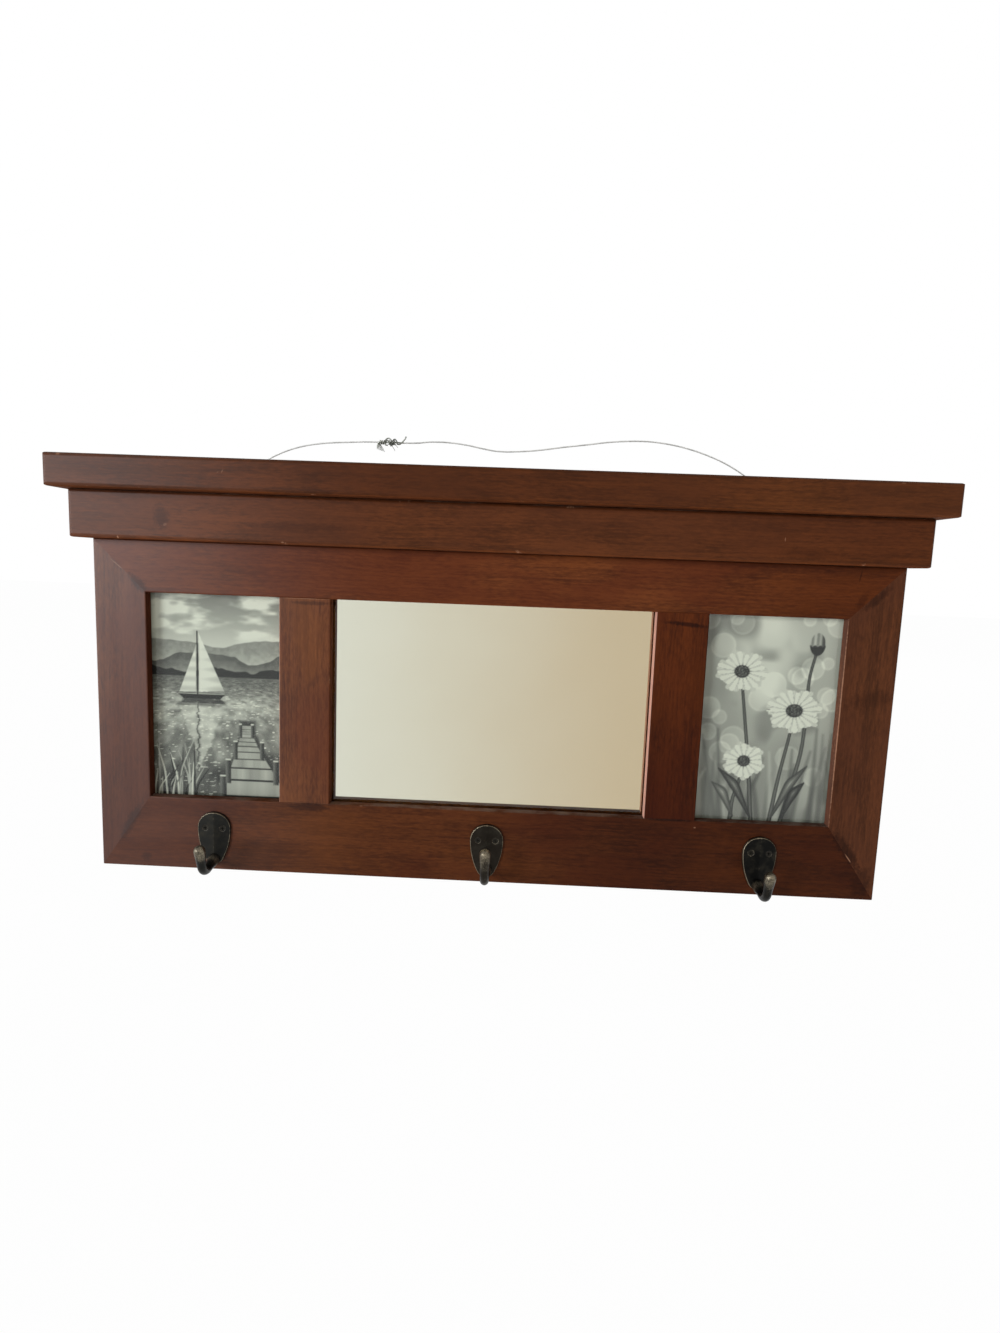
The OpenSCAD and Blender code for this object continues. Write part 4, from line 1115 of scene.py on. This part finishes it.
def print_piece(node, picture, material):
    """A sheet of paper in the node's place, whose front has a fine grid that holds the tones."""
    low, high = box(node)
    low, high = low + PRINT_INSET, high - PRINT_INSET
    columns = round((high[0] - low[0]) / PRINT_CELL)
    rows = round((high[2] - low[2]) / PRINT_CELL)
    x, z = np.meshgrid(np.linspace(low[0], high[0], columns), np.linspace(low[2], high[2], rows))
    tone = picture((x - x.mean()) / MM, (z - z.mean()) / MM)[..., None]
    tone = np.clip(0.5 + PRINT_CONTRAST * (tone - PRINT_MIDDLE), 0, 1)
    screen = (PRINT_BLACK + (PRINT_WHITE - PRINT_BLACK) * tone) / 255
    colours = np.where(screen > 0.04045, ((screen + 0.055) / 1.055) ** 2.4, screen / 12.92)
    front = np.stack([x, np.full_like(x, low[1]), z], -1)
    back = front[:, [-1, 0]]
    back[..., 1] = high[1]
    plain = np.broadcast_to(colours.mean((0, 1)), (rows, 2, 3))
    rgba = np.concatenate([np.concatenate([colours, plain], 1), np.ones((rows, columns + 2, 1))], -1)
    piece = make_piece(node + "_sheet", [shell(np.concatenate([front, back], 1))], material,
                       {"print_tone": rgba.reshape(-1, 4)}, smooth=False)
    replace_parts(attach(piece, "frame"), node)


# ---------- panes and pads ----------


def slab(low, high, ease):
    """A plate with its four front edges eased: rows of a rounded outline from back to front."""
    steps = np.array([[0, 0], [0, 1], [0.3, 1.7], [1, 2]]) * ease
    depth = high[1] - low[1]
    rows = []
    for inset, rise in [(0, 0)] + [(a, depth - 2 * ease + b) for a, b in steps]:
        y = high[1] - rise
        x0, x1, z0, z1 = low[0] + inset, high[0] - inset, low[2] + inset, high[2] - inset
        rows.append([(x0, y, z0), (x1, y, z0), (x1, y, z1), (x0, y, z1)])
    return shell(np.array(rows))


def pad_shell(middle, radius, foot, height):
    """A round pad: a profile that bulges a little at its side and is rounded at its rim."""
    t = np.linspace(0, np.pi / 2, 8)
    rim = 0.16 * radius
    r = np.concatenate([[radius * 0.97, radius], radius - rim + rim * np.cos(t), [0.5 * radius, 0.0]])
    y = np.concatenate([[0, 0.35 * height], height - rim + rim * np.sin(t), [height, height]])
    a = np.linspace(0, 2 * np.pi, 48, endpoint=False)
    points = np.stack([middle[0] + r[:, None] * np.cos(a), foot + y[:, None] + 0 * a,
                       middle[1] + r[:, None] * np.sin(a)], -1)
    return shell(points)


# ---------- dress the nodes ----------

def dress(node, material):
    """Gives a node its only material."""
    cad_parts[node].data.materials.clear()
    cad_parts[node].data.materials.append(material)


for name, values in BOARDS.items():
    dress(name, wood(name, **values))

steel = plain_metal("bright_steel_sheet", linear(188, 186, 180), linear(134, 130, 122), 0.30)
wire_steel = plain_metal("galvanised_wire", linear(208, 208, 205), linear(180, 180, 177), 0.45,
                         metallic=0.6)
knot_steel = plain_metal("tarnished_wire", linear(150, 152, 144), linear(92, 94, 88), 0.45)
brass = plain_metal("brass_plate_worn", linear(206, 178, 112), linear(158, 132, 84), 0.28)
screw_bronze = cast_bronze("bronze_screws", linear(40, 38, 34), False)
board_back, card_stock, paper = hardboard(), card(), printed_paper()
photo_pane = clear_glass("photo_glass_pane", (0.965, 0.98, 0.97, 1))
NODE_FINISH = {
    steel: ["corner_nails", "glazing_points", "button_screws", "left_ring", "right_ring"],
    brass: ["left_upper_button", "left_lower_button", "right_upper_button", "right_lower_button",
            "left_hanger_strap", "right_hanger_strap", "hanger_screws"],
    screw_bronze: ["hook_screws"],
    board_back: ["mirror_back", "left_photo_back", "right_photo_back"],
    card_stock: ["mirror_pad", "left_photo_filler", "right_photo_filler"],
    photo_pane: ["left_photo_glass", "right_photo_glass"]}
for material, nodes in NODE_FINISH.items():
    for name in nodes:
        dress(name, material)

# ---------- make the pieces ----------

knot = make_piece("wire_knot_wraps", [
    shell(tube(curve_through(np.multiply(points, MM), 8) + [KNOT_X[0], ring_point(-1)[1], KNOT_Z],
               radius * MM, 8)) for points, radius in knot_strands()], knot_steel)
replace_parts(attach(knot, "hanging_bail"), "wire_knot")
for side, word, route, knot_end in ((-1, "left", LEFT_ROUTE, KNOT_X[0]),
                                    (1, "right", RIGHT_ROUTE, KNOT_X[1])):
    path = wire_path(side, route, knot_end)
    twisted = tube(path, WIRE_D / 2, 12, WIRE_STRANDS, WIRE_FURROW, WIRE_TWIST)
    wire = make_piece(word + "_twisted_wire", [shell(twisted)], wire_steel)
    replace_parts(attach(wire, "hanging_bail"), word + "_hanging_wire")
    tie = make_piece(word + "_tie_wraps", tie_shells(side), wire_steel)
    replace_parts(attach(tie, "hanging_bail"), word + "_wire_tie")

for node, (tall, lean, arm, patina) in HOOKS.items():
    low, high = box(node)
    middle, rail, plate_r = (low[0] + high[0]) / 2, high[1], (high[0] - low[0]) / 2
    plate, plate_rub_and_highlight = plate_shell(middle, high[2], rail, plate_r)
    rod, rod_rubbed = rod_shell(middle, high[2] - tall, rail, math.radians(lean), arm)
    hook = make_piece(node + "_casting", [plate, rod], cast_bronze(node + "_bronze", patina, True),
                      {"worn": np.concatenate([plate_rub_and_highlight, rod_rubbed])})
    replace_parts(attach(hook, "frame"), node)

print_piece("left_photo_print", lake_picture, paper)
print_piece("right_photo_print", flower_picture, paper)

low, high = box("mirror_glass")
SILVER_T = 0.1 * MM
front = make_piece("mirror_pane", [slab(low, high - [0, 2 * SILVER_T, 0], 0.4 * MM)],
                   clear_glass("mirror_glass_pane", (0.985, 0.99, 0.985, 1)),
                   smooth=False)
back = make_piece("mirror_silvering", [slab(low + [0, high[1] - low[1] - SILVER_T, 0], high,
                                            SILVER_T / 4)], silver_with_painted_reflection(),
                  smooth=False)
for piece in (front, back):
    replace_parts(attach(piece, "frame"), "mirror_glass")

low, high = box("wall_pads")
pad_r = (high[2] - low[2]) / 2
pads = make_piece("foam_pads", [
    pad_shell((x, (low[2] + high[2]) / 2), pad_r, low[1], high[1] - low[1])
    for x in (low[0] + pad_r, high[0] - pad_r)], foam())
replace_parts(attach(pads, "frame"), "wall_pads")

# ---------- floor, world and lights ----------

WHITE = (1, 1, 1, 1)
FLOOR_Z = cad_box[0][2] - 0.05
FLOOR_REACH, FLOOR_POINTS = 6.0, 9
# how much of the floor's look is the background's, and how much of its light is its own glow
FLOOR_BACKGROUND, FLOOR_GLOW = 0.985, 0.55
AMBIENT = 0.07


def background_rays(graph):
    """1 for rays that see the background straight, in a mirror or through glass, else 0."""
    path = graph.add("ShaderNodeLightPath").outputs
    seen = graph.math("MAXIMUM", path["Is Camera Ray"], path["Is Glossy Ray"])
    return graph.math("MAXIMUM", seen, path["Is Transmission Ray"])


def make_floor():
    """A wide pale sheet that keeps only a faint shadow of the object."""
    n = FLOOR_POINTS
    reach = np.linspace(-FLOOR_REACH, FLOOR_REACH, n)
    x, y = np.meshgrid(reach, reach)
    points = np.stack([x, y, np.full_like(x, FLOOR_Z)], -1).reshape(-1, 3)
    faces = [[k, k + 1, k + n + 1, k + n] for k in range(n * (n - 1)) if k % n < n - 1]
    mesh = bpy.data.meshes.new("floor")
    mesh.from_pydata(points.tolist(), [], faces)
    graph = Surface("pale_floor")
    mesh.materials.append(graph.finish((0.86, 0.86, 0.86, 1), 0.9, Specular_IOR_Level=0.0))
    glow = graph.add("ShaderNodeEmission", {"Color": WHITE, "Strength": 1.0}).outputs[0]
    share = graph.times(background_rays(graph), FLOOR_BACKGROUND)
    graph.cover(graph.math("MAXIMUM", share, FLOOR_GLOW), graph.shader.outputs[0], glow)
    floor = bpy.data.objects.new("floor", mesh)
    scene.collection.objects.link(floor)


def make_world():
    """White behind the object and in its reflections, and a softer light on it."""
    world = bpy.data.worlds.new("studio")
    world.use_nodes = True
    graph = Graph(world.node_tree)
    soft = graph.tree.nodes["Background"]
    soft.inputs["Color"].default_value = (1.0, 0.97, 0.93, 1)
    soft.inputs["Strength"].default_value = AMBIENT
    bright = graph.add("ShaderNodeBackground", {"Color": WHITE, "Strength": 1.0}).outputs[0]
    graph.cover(background_rays(graph), soft.outputs[0], bright, "World Output")
    scene.world = world


def make_light(name, place, target, size, brightness, colour):
    """A soft rectangular lamp that faces target; its brightness is that of its own surface."""
    data = bpy.data.lights.new(name, "AREA")
    data.shape = "RECTANGLE"
    data.size, data.size_y = size
    data.energy = brightness * math.pi * size[0] * size[1]
    data.color = colour
    lamp = bpy.data.objects.new(name, data)
    scene.collection.objects.link(lamp)
    lamp.location = place
    lamp.rotation_euler = (Vector(target) - Vector(place)).to_track_quat("-Z", "Y").to_euler()


COOL, WARM = (0.92, 0.95, 1.0), (1.0, 0.9, 0.78)
make_floor()
make_world()
make_light("window", (-2.98, -3.22, 0.2), (-0.1, 0, -0.14), (1.35, 1.95), 15.8, COOL)
make_light("side_window", (-3.0, -1.12, 0.05), (0, 0, -0.15), (1.05, 1.35), 7, COOL)
make_light("back", (0.5, 2.5, 0.6), (0, 0, -0.15), (1.5, 1.0), 4, (1.0, 0.98, 0.95))
make_light("fill", (0.35, -2.4, 0.75), (0.05, 0, -0.16), (2.1, 0.9), 1.5, WARM)

scene.view_settings.view_transform = "Standard"
